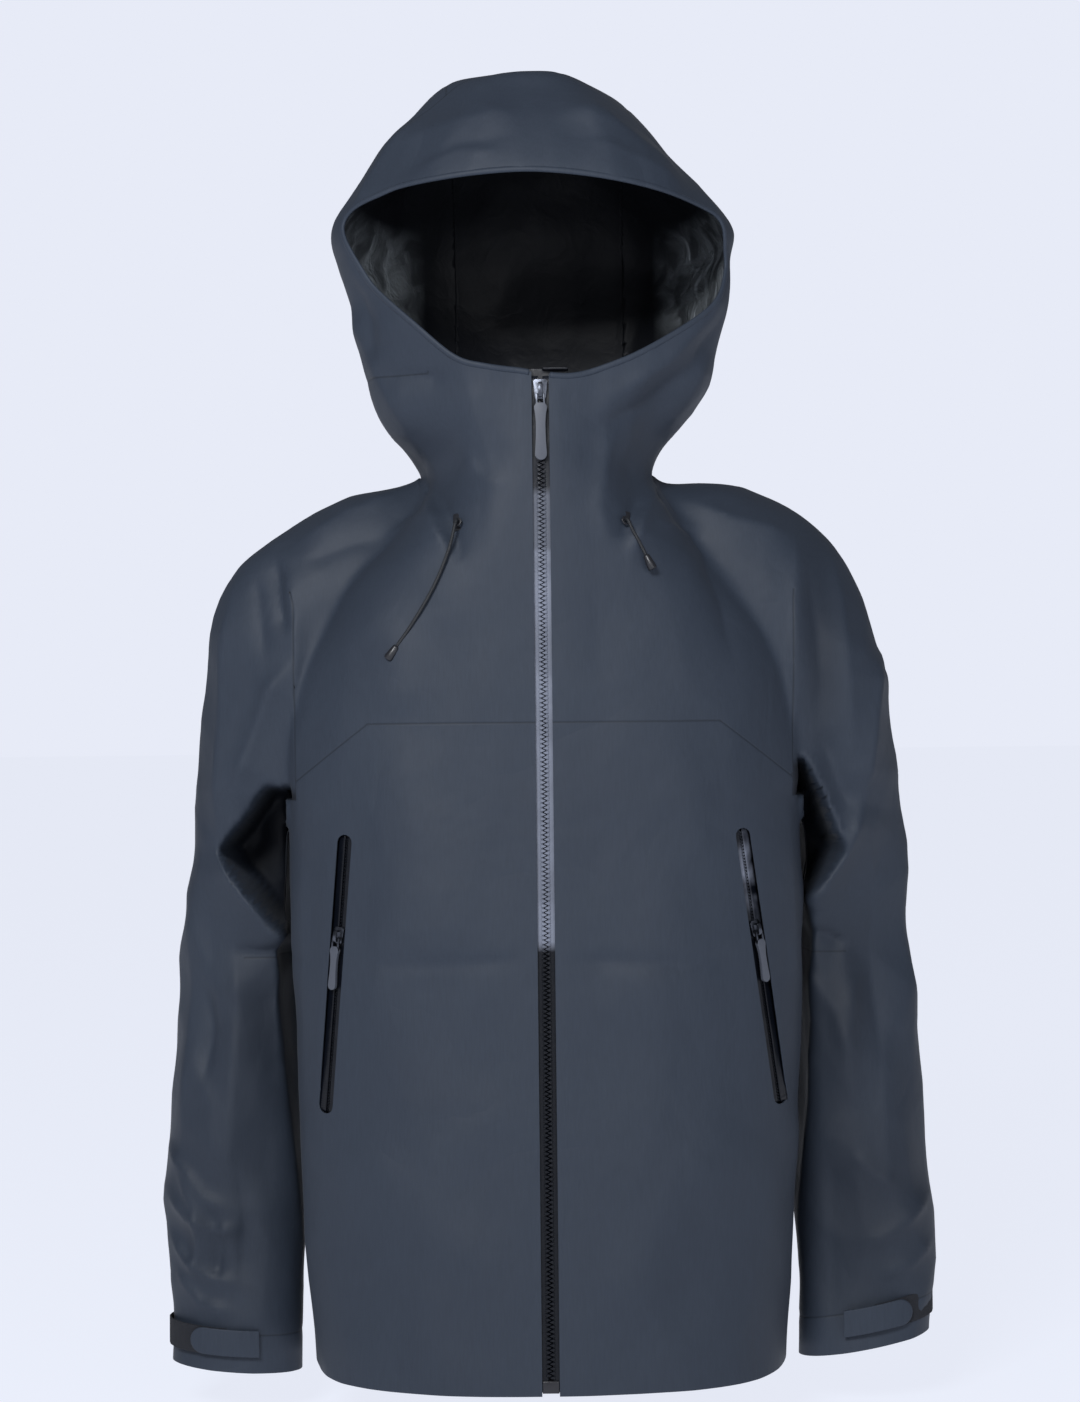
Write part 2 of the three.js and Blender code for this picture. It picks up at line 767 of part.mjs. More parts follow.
/** The collar reaches up to the chin seam, and to the face opening under the chin. */
function collarRegion(grow) {
  const seam = chinSeam - half + grow;
  const outline = shapeOf([
    [-far, 0],
    [far, 0],
    [far, seam],
    [across(85) + grow, seam],
    [across(75) + grow, seam + 38],
    [-across(75) - grow, seam + 38],
    [-across(85) - grow, seam],
    [-far, seam],
  ]);
  return prismAlongY(outline, -far, far);
}

function addHood() {
  const hood = shell.intersect(aboveNeck(half)).intersect(between(-across(172), across(172)));
  place(jacket, "hood_crown", hood.intersect(crownRegion(0)), "shell");
  const rest = hood.subtract(crownRegion(gap));
  place(jacket, "hood_brim", rest.intersect(brimRegion(0)), "shell");
  for (const [name, side] of Object.entries(sideOf)) {
    const mine = rest.subtract(brimRegion(gap)).intersect(beyond(side, 0));
    const exit = barAlongY(eyelet.hole, -10, 12).add(lockRoom()).transform(exitFrame[name].elements);
    place(jacket, `collar_${name}`, mine.intersect(collarRegion(0)).subtract(exit), "shell");
    place(jacket, `hood_side_${name}`, mine.subtract(collarRegion(gap)), "shell");
  }
}

// ---- Front zip ----

const chinEnd = -1.5; // where the tapes end, measured along the zip from the chin
const sliderRest = -4.6; // the slider's top edge when the jacket is closed
const boxHeight = 9;
const boxBottom = -zipRun + 2;
const flapBack = 8.4; // depth of the wind flap's inner face

function addFrontZip() {
  const zip = atFrame(zipFrame);
  const box = (grow) =>
    block(-6.2 - grow, 6.2 + grow, 1.1 - grow, 5.5 + grow, boxBottom - grow, boxBottom + boxHeight + grow);
  place(zip, "zip_box", box(0), "zipTeeth");
  for (const [name, side] of Object.entries(sideOf)) {
    const tape = zipTape(frontZip, side, boxBottom, chinEnd).subtract(box(gap));
    place(zip, `front_zip_tape_${name}`, tape, "zipTape");
    const inner = frontZip.postHalf + postRoom;
    const [x0, x1] = side > 0 ? [inner, frontZip.chainHalf] : [-frontZip.chainHalf, -inner];
    const { frontInside, backInside } = sliderDepths(frontZip);
    const topStop = block(x0, x1, frontInside - 0.4, backInside + 0.4, sliderRest + gap, chinEnd);
    const chain = zipChain(frontZip, side, boxBottom + boxHeight + gap, chinEnd).add(topStop);
    place(zip, `front_zip_teeth_${name}`, chain, "zipTeeth");
  }
  const rib = (z0, z1) => block(9, 13.5, frontZip.tapePlane + tapeThick / 2 + gap, flapBack, z0, z1);
  const guardFoot = -46;
  const flap = block(-15, 15, flapBack - 1.2, flapBack, boxBottom + 6, guardFoot - gap);
  place(zip, "storm_flap", flap.add(rib(boxBottom + 6, guardFoot - gap)), "lining");
  const guard = block(-15, 21, flapBack - 1.2, flapBack, guardFoot, 4.5)
    .add(rib(guardFoot, -2))
    .add(block(2, 21, 1.2, flapBack, 2.9, 4.5));
  place(zip, "chin_guard", guard, "lining");
  addPull(zip, frontZip, frontPull, sliderRest, ["front_slider", "front_pull_link", "front_puller"]);
}

/** A slider with its link and puller, at a height along its zip. */
function addPull(parent, zip, pull, height, [sliderName, linkName, pullerName]) {
  const slider = new THREE.Group();
  slider.position.z = height;
  parent.add(slider);
  place(slider, sliderName, zipSlider(zip), "metal");
  place(slider, linkName, pullLink(zip, pull.drop), "metal");
  place(slider, pullerName, pullTab(zip, pull.drop, pull.tab), "puller");
}

// ---- Pockets ----

const pocketSliderRest = 36; // the slider's top edge above the middle of its zip
const bag = { front: wall + gap, room: 16, back: 17.5, border: 7 };

function addPocket(name, side) {
  const frame = atFrame(pocketFrame[name]);
  const reach = pocketLength[name] / 2;
  const ends = { inner: -side, outer: side };
  for (const [edge, direction] of Object.entries(ends)) {
    const tape = coilTape(pocketZip, direction, -reach - 6, reach + 6);
    place(frame, `pocket_tape_${edge}_${name}`, tape, "zipTape");
  }
  addPull(frame, pocketZip, pocketPull, pocketSliderRest, [
    `pocket_slider_${name}`,
    `pocket_pull_link_${name}`,
    `pocket_puller_${name}`,
  ]);
  place(jacket, `pocket_bag_${name}`, pocketBag(side), "lining");
}

/** A tray of light fabric, bonded by its border to the panel's inner face around the zip. */
function pocketBag(side) {
  const outline = (inset) => {
    const left = across(52) + inset;
    const foot = up(176) + inset;
    const head = up(440) - inset;
    const points = [[left, foot], [across(190) - inset, foot], [across(180) - inset, head], [left, head]];
    const placed = points.map(([x, z]) => [side * x, z]);
    return prismAlongY(shapeOf(side > 0 ? placed : placed.reverse()), -far, sideLine - 6 - inset);
  };
  const skin = torsoAt(bag.front).subtract(torsoAt(bag.back)).intersect(outline(0));
  return skin.subtract(torsoAt(bag.front - 2).subtract(torsoAt(bag.room)).intersect(outline(bag.border)));
}

// ---- Drawcords and their locks ----

/** A cord through points, as a tube without branches. */
function cordAlong(points, steps) {
  const path = new THREE.CatmullRomCurve3(points);
  const ring = Array.from({ length: 8 }, (_, k) => {
    const angle = (2 * Math.PI * k) / 8;
    return new THREE.Vector2(cordRadius * Math.cos(angle), cordRadius * Math.sin(angle));
  });
  return new THREE.ExtrudeGeometry(new THREE.Shape(ring), { steps, extrudePath: path, curveSegments: 1 });
}

function placeGeometry(parent, name, geometry, finish) {
  const mesh = new THREE.Mesh(geometry, materials[finish]);
  mesh.name = name;
  parent.add(mesh);
}

/** A spring lock's body, bored for the cord either through it or along the wall it sits on. */
function lockBody(boreAlongWall) {
  const middle = (lock.front + lock.back) / 2;
  const bore = new THREE.CylinderGeometry(lock.bore, lock.bore, 40, 12);
  if (boreAlongWall) bore.rotateZ(Math.PI / 2);
  bore.translate(0, middle, 0);
  const well = barAlongZ(lock.button + 0.3, 2.4, lock.head + 2, middle);
  return block(-lock.half, lock.half, lock.front, lock.back, lock.foot, lock.head)
    .subtract(solidFrom(bore))
    .subtract(well);
}

function barAlongZ(radius, z0, z1, y) {
  const rod = new THREE.CylinderGeometry(radius, radius, z1 - z0, 16);
  rod.rotateX(Math.PI / 2);
  rod.translate(0, y, (z0 + z1) / 2);
  return solidFrom(rod);
}

function addLock(frame, kind, name, boreAlongWall) {
  const middle = (lock.front + lock.back) / 2;
  place(frame, `${kind}_lock_${name}`, lockBody(boreAlongWall), "plastic");
  place(frame, `${kind}_lock_button_${name}`, barAlongZ(lock.button, 5.4, buttonTop, middle), "plastic");
}

/** The hood's drawcord: out through the collar's eyelet and down the chest to a moulded end. */
function addDrawcord(name) {
  const exit = atFrame(exitFrame[name]);
  const ring = barAlongY(eyelet.ring, -gap - eyelet.thick, -gap).subtract(barAlongY(eyelet.hole, -9, 9));
  place(exit, `cord_eyelet_${name}`, ring, "plastic");
  addLock(exit, "hood", name, false);
  const offWall = 4.7; // clear of the panels by the moulded end's radius
  const straight = [14, 8, 2, -3.4];
  const inside = straight.map((y) => new THREE.Vector3(0, y, 0).applyMatrix4(exitFrame[name]));
  const outside = cordRoutes[name].slice(1).map(([x, z]) => {
    const inward = new THREE.Vector3().setFromMatrixColumn(skinFrame(onTorso, [x, z - 4], [x, z + 4]), 1);
    return onTorso(x, z).addScaledVector(inward, -offWall);
  });
  placeGeometry(jacket, `drawcord_${name}`, cordAlong([...inside, ...outside], 30), "cord");
  const tip = outside[outside.length - 1];
  const heading = tip.clone().sub(outside[outside.length - 2]).normalize();
  place(jacket, `cord_end_${name}`, cordEnd(tip, heading), "plastic");
}

/** A tapered end, 12 long, moulded over the last of the cord. */
function cordEnd(tip, heading) {
  const outline = [[0, 0], [2, 0], [2.6, 1.2], [3.6, 10], [3.2, 12], [0, 12]];
  const cone = new THREE.LatheGeometry(outline.map(([r, h]) => new THREE.Vector2(r, h)), 14);
  const turn = new THREE.Quaternion().setFromUnitVectors(new THREE.Vector3(0, 1, 0), heading);
  const start = tip.clone().addScaledVector(heading, gap);
  return solidFrom(cone, new THREE.Matrix4().compose(start, turn, new THREE.Vector3(1, 1, 1)));
}

/** The hem's elastic cord runs round the back between two locks at the sides. */
function addHemCord() {
  const height = up(12);
  const middle = (lock.front + lock.back) / 2;
  const at = sectionAt(torsoStations, height);
  for (const [name, side] of Object.entries(sideOf)) {
    const inward = new THREE.Vector3(-side, 0, 0);
    const rise = new THREE.Vector3(0, 0, 1);
    const frame = new THREE.Matrix4()
      .makeBasis(inward.clone().cross(rise), inward, rise)
      .setPosition(side * (at.half - gap - 0.2), sideLine, height);
    addLock(atFrame(frame), "hem", name, true);
  }
  const start = -0.14;
  const count = 17;
  const points = Array.from({ length: count }, (_, k) => {
    const angle = start + ((Math.PI - 2 * start) * k) / (count - 1);
    const [x, y] = sectionPoint(at, angle, middle);
    return new THREE.Vector3(x, y, height);
  });
  placeGeometry(jacket, "hem_drawcord", cordAlong(points, 44), "cord");
}

// ---- Cuff closures ----

const cuffPatch = { thick: 1.6, from: -86, to: 58, foot: 13, head: 35 };
const cuffTab = { thick: 1.8, from: -112, foot: 13.5, head: 34.5, reach: 34 };
cuffTab.lift = cuffPatch.thick + 2 * gap; // the tab lies on the patch

/** A band around the cuff's outside between two angles and two distances off its skin. */
function cuffSector(name, side, from, to, inner, outer) {
  const stations = sleeveStations[name];
  const [x, y, , , halfWidth, halfDepth] = stations[stations.length - 1];
  const steps = 14;
  const ring = (off) =>
    Array.from({ length: steps + 1 }, (_, k) => {
      const angle = THREE.MathUtils.degToRad(from + ((to - from) * k) / steps);
      return [side * (x + (halfWidth + off) * Math.cos(angle)), y + (halfDepth + off) * Math.sin(angle)];
    });
  const outline = [...ring(outer), ...ring(inner).reverse()];
  return prismAlongZ(side > 0 ? outline : outline.reverse(), -60, 90);
}

function addCuffClosure(name, side) {
  const hem = cuffHem[name];
  const band = (foot, head) => cuffCut(side, hem, head).subtract(cuffCut(side, hem, foot));
  const patch = cuffSector(name, side, cuffPatch.from, cuffPatch.to, gap, gap + cuffPatch.thick);
  const strip = patch.intersect(band(cuffPatch.foot, cuffPatch.head));
  place(jacket, `cuff_loop_patch_${name}`, strip, "loopPatch");
  const free = cuffSector(name, side, cuffTab.from, 0, cuffTab.lift, cuffTab.lift + cuffTab.thick);
  const sewn = cuffSector(name, side, cuffTab.from, cuffTab.from + 9, gap, cuffTab.lift + 0.2);
  const tab = free.add(sewn).intersect(tabOutline(name, side));
  place(jacket, `cuff_tab_${name}`, tab, "shell");
}

/** The tab's outline from the front: a strip along the cuff's slanting hem with a round free end. */
function tabOutline(name, side) {
  const stations = sleeveStations[name];
  const middle = stations[stations.length - 1][0];
  const hem = cuffHem[name];
  const slope = (hem.outer - hem.inner) / 130;
  const level = (x) => hem.inner + (x - 190 - sleeveShift) * slope;
  const radius = (cuffTab.head - cuffTab.foot) / 2;
  const round = middle + cuffTab.reach - radius;
  const centre = level(round) + cuffTab.foot + radius;
  const start = middle - 60;
  const points = [[start, level(start) + cuffTab.head], [start, level(start) + cuffTab.foot]];
  const steps = 10;
  for (let k = 0; k <= steps; k++) {
    const angle = -Math.PI / 2 + (Math.PI * k) / steps;
    points.push([round + radius * Math.cos(angle), centre + radius * Math.sin(angle)]);
  }
  const placed = points.map(([x, z]) => [side * x, z]);
  return prismAlongY(shapeOf(side > 0 ? placed : placed.reverse()), -far, 12);
}

// ---- Hanger loop ----

const hanger = { half: 28, height: 15, strap: 2, depth: 6, foot: up(702) };
hanger.rear = skinDepth(hoodStations, hanger.half, hanger.foot, "back") - wall - gap;

/** A loop of tape at the back of the neck, its ends against the back's inner face. */
function addHangerLoop() {
  const { half: reach, height, strap, depth, foot, rear } = hanger;
  const ring = (inset) => {
    const low = foot + inset;
    const high = foot + height - inset;
    const side = reach - inset;
    return shapeOf([
      [-side + 3, low],
      [side - 3, low],
      [side, low + 3],
      [side, high - 3],
      [side - 3, high],
      [-side + 3, high],
      [-side, high - 3],
      [-side, low + 3],
    ]);
  };
  const loop = prismAlongY(ring(0), rear - depth, rear).subtract(prismAlongY(ring(strap), 0, rear + 20));
  place(jacket, "hanger_loop", loop, "cord");
}

addTorsoPanels();
addSleeves();
addHood();
addFrontZip();
for (const [name, side] of Object.entries(sideOf)) {
  addPocket(name, side);
  addDrawcord(name);
  addCuffClosure(name, side);
}
addHemCord();
addHangerLoop();

// The origin is the middle of the hanger loop's bearing face.
const hangPoint = [0, hanger.rear - hanger.depth / 2, hanger.foot + hanger.height - hanger.strap];
jacket.position.set(...hangPoint.map((value) => -value));
const part = new THREE.Group();
part.add(jacket);

export default part;
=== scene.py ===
import math

import bmesh
import bpy
import numpy as np
from mathutils import Matrix, Vector
from mathutils.bvhtree import BVHTree
from mathutils.kdtree import KDTree


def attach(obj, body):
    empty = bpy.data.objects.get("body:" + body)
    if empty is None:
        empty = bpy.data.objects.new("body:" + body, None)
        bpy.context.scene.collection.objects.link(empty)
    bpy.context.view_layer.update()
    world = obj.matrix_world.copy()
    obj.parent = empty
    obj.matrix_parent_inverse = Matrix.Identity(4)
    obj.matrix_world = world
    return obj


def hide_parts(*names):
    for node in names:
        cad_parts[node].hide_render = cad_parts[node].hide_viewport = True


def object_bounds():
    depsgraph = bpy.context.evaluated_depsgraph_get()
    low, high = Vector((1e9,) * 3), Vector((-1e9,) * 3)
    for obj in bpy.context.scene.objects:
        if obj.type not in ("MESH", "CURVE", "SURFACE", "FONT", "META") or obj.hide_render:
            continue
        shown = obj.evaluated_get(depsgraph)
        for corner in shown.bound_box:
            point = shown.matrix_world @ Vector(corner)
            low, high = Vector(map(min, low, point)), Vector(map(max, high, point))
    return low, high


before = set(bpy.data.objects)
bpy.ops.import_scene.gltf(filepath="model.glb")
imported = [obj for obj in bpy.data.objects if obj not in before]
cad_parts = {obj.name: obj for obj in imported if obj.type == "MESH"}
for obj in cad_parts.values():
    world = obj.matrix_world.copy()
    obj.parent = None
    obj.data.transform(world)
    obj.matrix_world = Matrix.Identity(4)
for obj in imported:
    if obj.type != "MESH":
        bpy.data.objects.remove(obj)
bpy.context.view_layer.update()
scene = bpy.context.scene
scene.view_settings.view_transform = "Standard"
print("frame loaded")

# Shapes are set out in the garment's own millimetres, up from the front hem, and moved to the frame here.
hangPoint = np.array((0.0, 80.539, 715.0))


def toFrame(points):
    return (np.asarray(points, dtype=float) - hangPoint) / 1000


def deselectAll():
    for thing in bpy.context.selected_objects:
        thing.select_set(False)
    bpy.context.view_layer.objects.active = None


def makeActive(thing):
    deselectAll()
    thing.select_set(True)
    bpy.context.view_layer.objects.active = thing


def meshObject(name, verts, faces):
    mesh = bpy.data.meshes.new(name)
    mesh.from_pydata([tuple(v) for v in verts], [], [tuple(int(i) for i in f) for f in faces])
    mesh.update()
    thing = bpy.data.objects.new(name, mesh)
    scene.collection.objects.link(thing)
    return thing


# Camera

camera = {"place": (-2.7, -2300.0, 514.0), "lens": 74.75, "roll": 0.62}


def addCamera():
    data = bpy.data.cameras.new("camera")
    data.lens = camera["lens"]
    data.sensor_width = 36
    data.clip_end = 50
    thing = bpy.data.objects.new("camera", data)
    scene.collection.objects.link(thing)
    thing.location = toFrame(camera["place"])
    roll = Matrix.Rotation(math.radians(camera["roll"]), 3, "Y")
    thing.rotation_euler = (roll @ Matrix.Rotation(math.pi / 2, 3, "X")).to_euler()
    scene.camera = thing


addCamera()

# Drawcords: through the lock and the collar's eyelet, then down the chest

cords = {
    "right": {"length": 0.124, "points": [
        (-56.796, -98.322, 645.183), (-59.455, -103.446, 646.819), (-62.114, -108.57, 648.455),
        (-64.507, -113.181, 649.927), (-69.604, -118.096, 628.978), (-81.323, -119.975, 600.69),
        (-97.442, -118.435, 573.603), (-109.549, -116.759, 556.661)]},
    "left": {"length": 0.048, "points": [
        (56.796, -98.322, 645.183), (59.455, -103.446, 646.819), (62.114, -108.57, 648.455),
        (64.507, -113.181, 649.927), (67.929, -115.407, 642.189), (72.831, -115.747, 633.155),
        (77.715, -116.37, 623.089)]},
    "hem": {"length": 0.56, "points": [
        (175.734, -47.707, 12), (176.777, -9.358, 12), (171.09, 23.06, 12), (158.799, 49.581, 12),
        (140.16, 71.615, 12), (115.504, 89.141, 12), (85.1, 101.913, 12), (48.687, 109.689, 12),
        (0, 112.3, 12), (-48.687, 109.689, 12), (-85.1, 101.913, 12), (-115.504, 89.141, 12),
        (-140.16, 71.615, 12), (-158.799, 49.581, 12), (-171.09, 23.06, 12), (-176.777, -9.358, 12),
        (-175.734, -47.707, 12)]},
    "diameter": 0.0025,
}


def smoothColumns(rows, perSpan):
    table = np.array(rows, dtype=float)
    padded = np.vstack([2 * table[0] - table[1], table, 2 * table[-1] - table[-2]])
    out = []
    for i in range(1, len(padded) - 2):
        a, b, c, d = padded[i - 1:i + 3]
        for t in np.arange(perSpan) / perSpan:
            out.append(0.5 * (2 * b + (c - a) * t + (2 * a - 5 * b + 4 * c - d) * t**2
                              + (3 * b - a - 3 * c + d) * t**3))
    out.append(table[-1])
    return np.array(out)


def addCord(name, points):
    curve = bpy.data.curves.new(name, "CURVE")
    curve.dimensions = "3D"
    curve.bevel_depth = cords["diameter"] / 2
    curve.bevel_resolution = 3
    curve.use_fill_caps = True
    places = toFrame(smoothColumns(points, 3))
    line = curve.splines.new("POLY")
    line.points.add(len(places) - 1)
    for point, place in zip(line.points, places):
        point.co = (*place, 1)
    thing = bpy.data.objects.new(name, curve)
    scene.collection.objects.link(thing)
    return thing


drawcords = {
    "right": addCord("drawcordRight", cords["right"]["points"]),
    "left": addCord("drawcordLeft", cords["left"]["points"]),
    "hem": addCord("hemDrawcord", cords["hem"]["points"]),
}
print("cords laid")

# Materials


def newMaterial(name, roughness=0.6, metallic=0.0):
    material = bpy.data.materials.new(name)
    material.use_nodes = True
    shader = material.node_tree.nodes["Principled BSDF"]
    shader.inputs["Roughness"].default_value = roughness
    shader.inputs["Metallic"].default_value = metallic
    return material, material.node_tree, shader


def node(tree, kind, **values):
    made = tree.nodes.new(kind)
    for key, value in values.items():
        if key in made.inputs:
            made.inputs[key].default_value = value
        else:
            setattr(made, key, value)
    return made


def mathNode(tree, operation, first, second=None, third=None, clamp=False):
    made = tree.nodes.new("ShaderNodeMath")
    made.operation = operation
    made.use_clamp = clamp
    for slot, value in enumerate((first, second, third)):
        if value is None:
            continue
        if isinstance(value, (int, float)):
            made.inputs[slot].default_value = value
        else:
            tree.links.new(value, made.inputs[slot])
    return made.outputs[0]


def blendColour(tree, mask, low, high):
    made = tree.nodes.new("ShaderNodeMix")
    made.data_type = "RGBA"
    tree.links.new(mask, made.inputs["Factor"])
    for name, value in (("A", low), ("B", high)):
        slot = [s for s in made.inputs if s.name == name and s.type == "RGBA"][0]
        if isinstance(value, tuple):
            slot.default_value = (*value, 1)
        else:
            tree.links.new(value, slot)
    return [s for s in made.outputs if s.type == "RGBA"][0]


def ramp(tree, value, low, high, lowOut=0.0, highOut=1.0):
    made = tree.nodes.new("ShaderNodeMapRange")
    made.inputs["From Min"].default_value = low
    made.inputs["From Max"].default_value = high
    made.inputs["To Min"].default_value = lowOut
    made.inputs["To Max"].default_value = highOut
    tree.links.new(value, made.inputs["Value"])
    return made.outputs["Result"]


def newGroup(name, inputs, outputs):
    group = bpy.data.node_groups.new(name, "ShaderNodeTree")
    for label, kind, value in inputs:
        made = group.interface.new_socket(label, in_out="INPUT", socket_type=kind)
        if value is not None:
            made.default_value = value
    for label, kind in outputs:
        group.interface.new_socket(label, in_out="OUTPUT", socket_type=kind)
    start = group.nodes.new("NodeGroupInput")
    end = group.nodes.new("NodeGroupOutput")
    return group, start, end


def useGroup(tree, group, **values):
    made = tree.nodes.new("ShaderNodeGroup")
    made.node_tree = group
    for key, value in values.items():
        if isinstance(value, (int, float)):
            made.inputs[key].default_value = value
        else:
            tree.links.new(value, made.inputs[key])
    return made


def makeWeaveGroup():
    group, start, end = newGroup(
        "clothWeave",
        [("Vector", "NodeSocketVector", None), ("Threads per metre", "NodeSocketFloat", 2500.0)],
        [("Height", "NodeSocketFloat"), ("Shade", "NodeSocketFloat")],
    )
    tree = group
    split = tree.nodes.new("ShaderNodeSeparateXYZ")
    tree.links.new(start.outputs["Vector"], split.inputs[0])
    acrossThread = mathNode(tree, "ADD", split.outputs[0], split.outputs[1])
    warp = mathNode(tree, "SINE", mathNode(tree, "MULTIPLY", acrossThread, start.outputs[1]))
    weft = mathNode(tree, "SINE", mathNode(tree, "MULTIPLY", split.outputs[2], start.outputs[1]))
    tree.links.new(mathNode(tree, "MULTIPLY", warp, weft), end.inputs["Height"])
    slub = node(tree, "ShaderNodeTexNoise", Scale=1.0, Detail=2.0)
    stretch = tree.nodes.new("ShaderNodeMapping")
    stretch.inputs["Scale"].default_value = (900, 900, 70)
    tree.links.new(start.outputs["Vector"], stretch.inputs[0])
    tree.links.new(stretch.outputs[0], slub.inputs["Vector"])
    tree.links.new(slub.outputs["Fac"], end.inputs["Shade"])
    return group


def makeCrinkleGroup():
    group, start, end = newGroup(
        "softCrinkle",
        [("Vector", "NodeSocketVector", None), ("Scale", "NodeSocketFloat", 18.0)],
        [("Height", "NodeSocketFloat"), ("Patches", "NodeSocketFloat")],
    )
    broad = node(group, "ShaderNodeTexNoise", Detail=3.0, Roughness=0.45, Distortion=0.6)
    group.links.new(start.outputs["Vector"], broad.inputs["Vector"])
    group.links.new(start.outputs["Scale"], broad.inputs["Scale"])
    ridge = mathNode(group, "ABSOLUTE", mathNode(group, "SUBTRACT", broad.outputs["Fac"], 0.5))
    fine = node(group, "ShaderNodeTexNoise", Detail=2.0, Roughness=0.5)
    group.links.new(start.outputs["Vector"], fine.inputs["Vector"])
    fineScale = mathNode(group, "MULTIPLY", start.outputs["Scale"], 5.0)
    group.links.new(fineScale, fine.inputs["Scale"])
    height = mathNode(group, "ADD", ridge, mathNode(group, "MULTIPLY", fine.outputs["Fac"], 0.12))
    group.links.new(height, end.inputs["Height"])
    group.links.new(broad.outputs["Fac"], end.inputs["Patches"])
    return group


weaveGroup = makeWeaveGroup()
crinkleGroup = makeCrinkleGroup()


def bumpInto(tree, shader, height, distance, strength=1.0):
    bump = node(tree, "ShaderNodeBump", Strength=strength, Distance=distance)
    tree.links.new(height, bump.inputs["Height"])
    tree.links.new(bump.outputs["Normal"], shader.inputs["Normal"])
    return bump


def objectPlace(tree):
    return tree.nodes.new("ShaderNodeTexCoord").outputs["Object"]


def makeCloth(name, look):
    material, tree, shader = newMaterial(name, look["roughness"])
    place = objectPlace(tree)
    weave = useGroup(tree, weaveGroup, Vector=place)
    weave.inputs["Threads per metre"].default_value = look["threads"]
    crinkle = useGroup(tree, crinkleGroup, Vector=place, Scale=look["crinkleScale"])
    base = blendColour(tree, crinkle.outputs["Patches"], look["low"], look["high"])
    slub = ramp(tree, weave.outputs["Shade"], 0.3, 0.7)
    speckled = tree.nodes.new("ShaderNodeMix")
    speckled.data_type = "RGBA"
    speckled.blend_type = "MULTIPLY"
    speckled.inputs["Factor"].default_value = look["slub"]
    sockets = [s for s in speckled.inputs if s.type == "RGBA"]
    tree.links.new(base, sockets[0])
    grey = tree.nodes.new("ShaderNodeCombineColor")
    for channel in range(3):
        tree.links.new(slub, grey.inputs[channel])
    tree.links.new(grey.outputs[0], sockets[1])
    cloth = [s for s in speckled.outputs if s.type == "RGBA"][0]
    seam = node(tree, "ShaderNodeAttribute", attribute_name="seam")
    line = ramp(tree, seam.outputs["Fac"], 0.0001, 0.0011)
    stitched = blendColour(tree, line, look["seamColour"], cloth)
    # painted shade: the cloth is blended towards a near-black colour where the sleeves' hollows and recesses
    # are marked
    fold = node(tree, "ShaderNodeAttribute", attribute_name="fold")
    stitched = blendColour(tree, fold.outputs["Fac"], stitched, look["paintedShadeColour"])
    tree.links.new(stitched, shader.inputs["Base Color"])
    shine = mathNode(tree, "MULTIPLY_ADD", crinkle.outputs["Patches"], look["roughnessSpread"],
                     look["roughness"] - look["roughnessSpread"] / 2)
    tree.links.new(shine, shader.inputs["Roughness"])
    shader.inputs["Sheen Weight"].default_value = look["sheen"]
    shader.inputs["Sheen Roughness"].default_value = 0.4
    shader.inputs["Specular IOR Level"].default_value = look["specular"]
    welt = mathNode(tree, "MULTIPLY", ramp(tree, seam.outputs["Fac"], 0.0, 0.0014), look["seamDepth"])
    creased = mathNode(tree, "MULTIPLY", crinkle.outputs["Height"], look["crinkle"])
    height = mathNode(tree, "ADD", creased, welt)
    height = mathNode(tree, "MULTIPLY_ADD", weave.outputs["Height"], look["weave"], height)
    bumpInto(tree, shader, height, 1.0)
    return material


shellLook = {
    "low": (0.024, 0.032, 0.048), "high": (0.030, 0.040, 0.058), "seamColour": (0.015, 0.020, 0.029),
    "paintedShadeColour": (0.006, 0.008, 0.013),
    "roughness": 0.60, "roughnessSpread": 0.14, "sheen": 0.02, "specular": 0.28,
    "threads": 5200.0, "weave": 0.000012, "slub": 0.12,
    "crinkleScale": 9.0, "crinkle": 0.0034, "seamDepth": 0.0002,
}
liningLook = {
    "low": (0.006, 0.007, 0.010), "high": (0.011, 0.012, 0.017), "seamColour": (0.003, 0.003, 0.005),
    "paintedShadeColour": (0.003, 0.003, 0.005),
    "roughness": 0.45, "roughnessSpread": 0.2, "sheen": 0.0, "specular": 0.4,
    "threads": 4200.0, "weave": 0.00001, "slub": 0.2,
    "crinkleScale": 22.0, "crinkle": 0.004, "seamDepth": 0.0003,
}
shellCloth = makeCloth("shellCloth", shellLook)
liningCloth = makeCloth("liningCloth", liningLook)


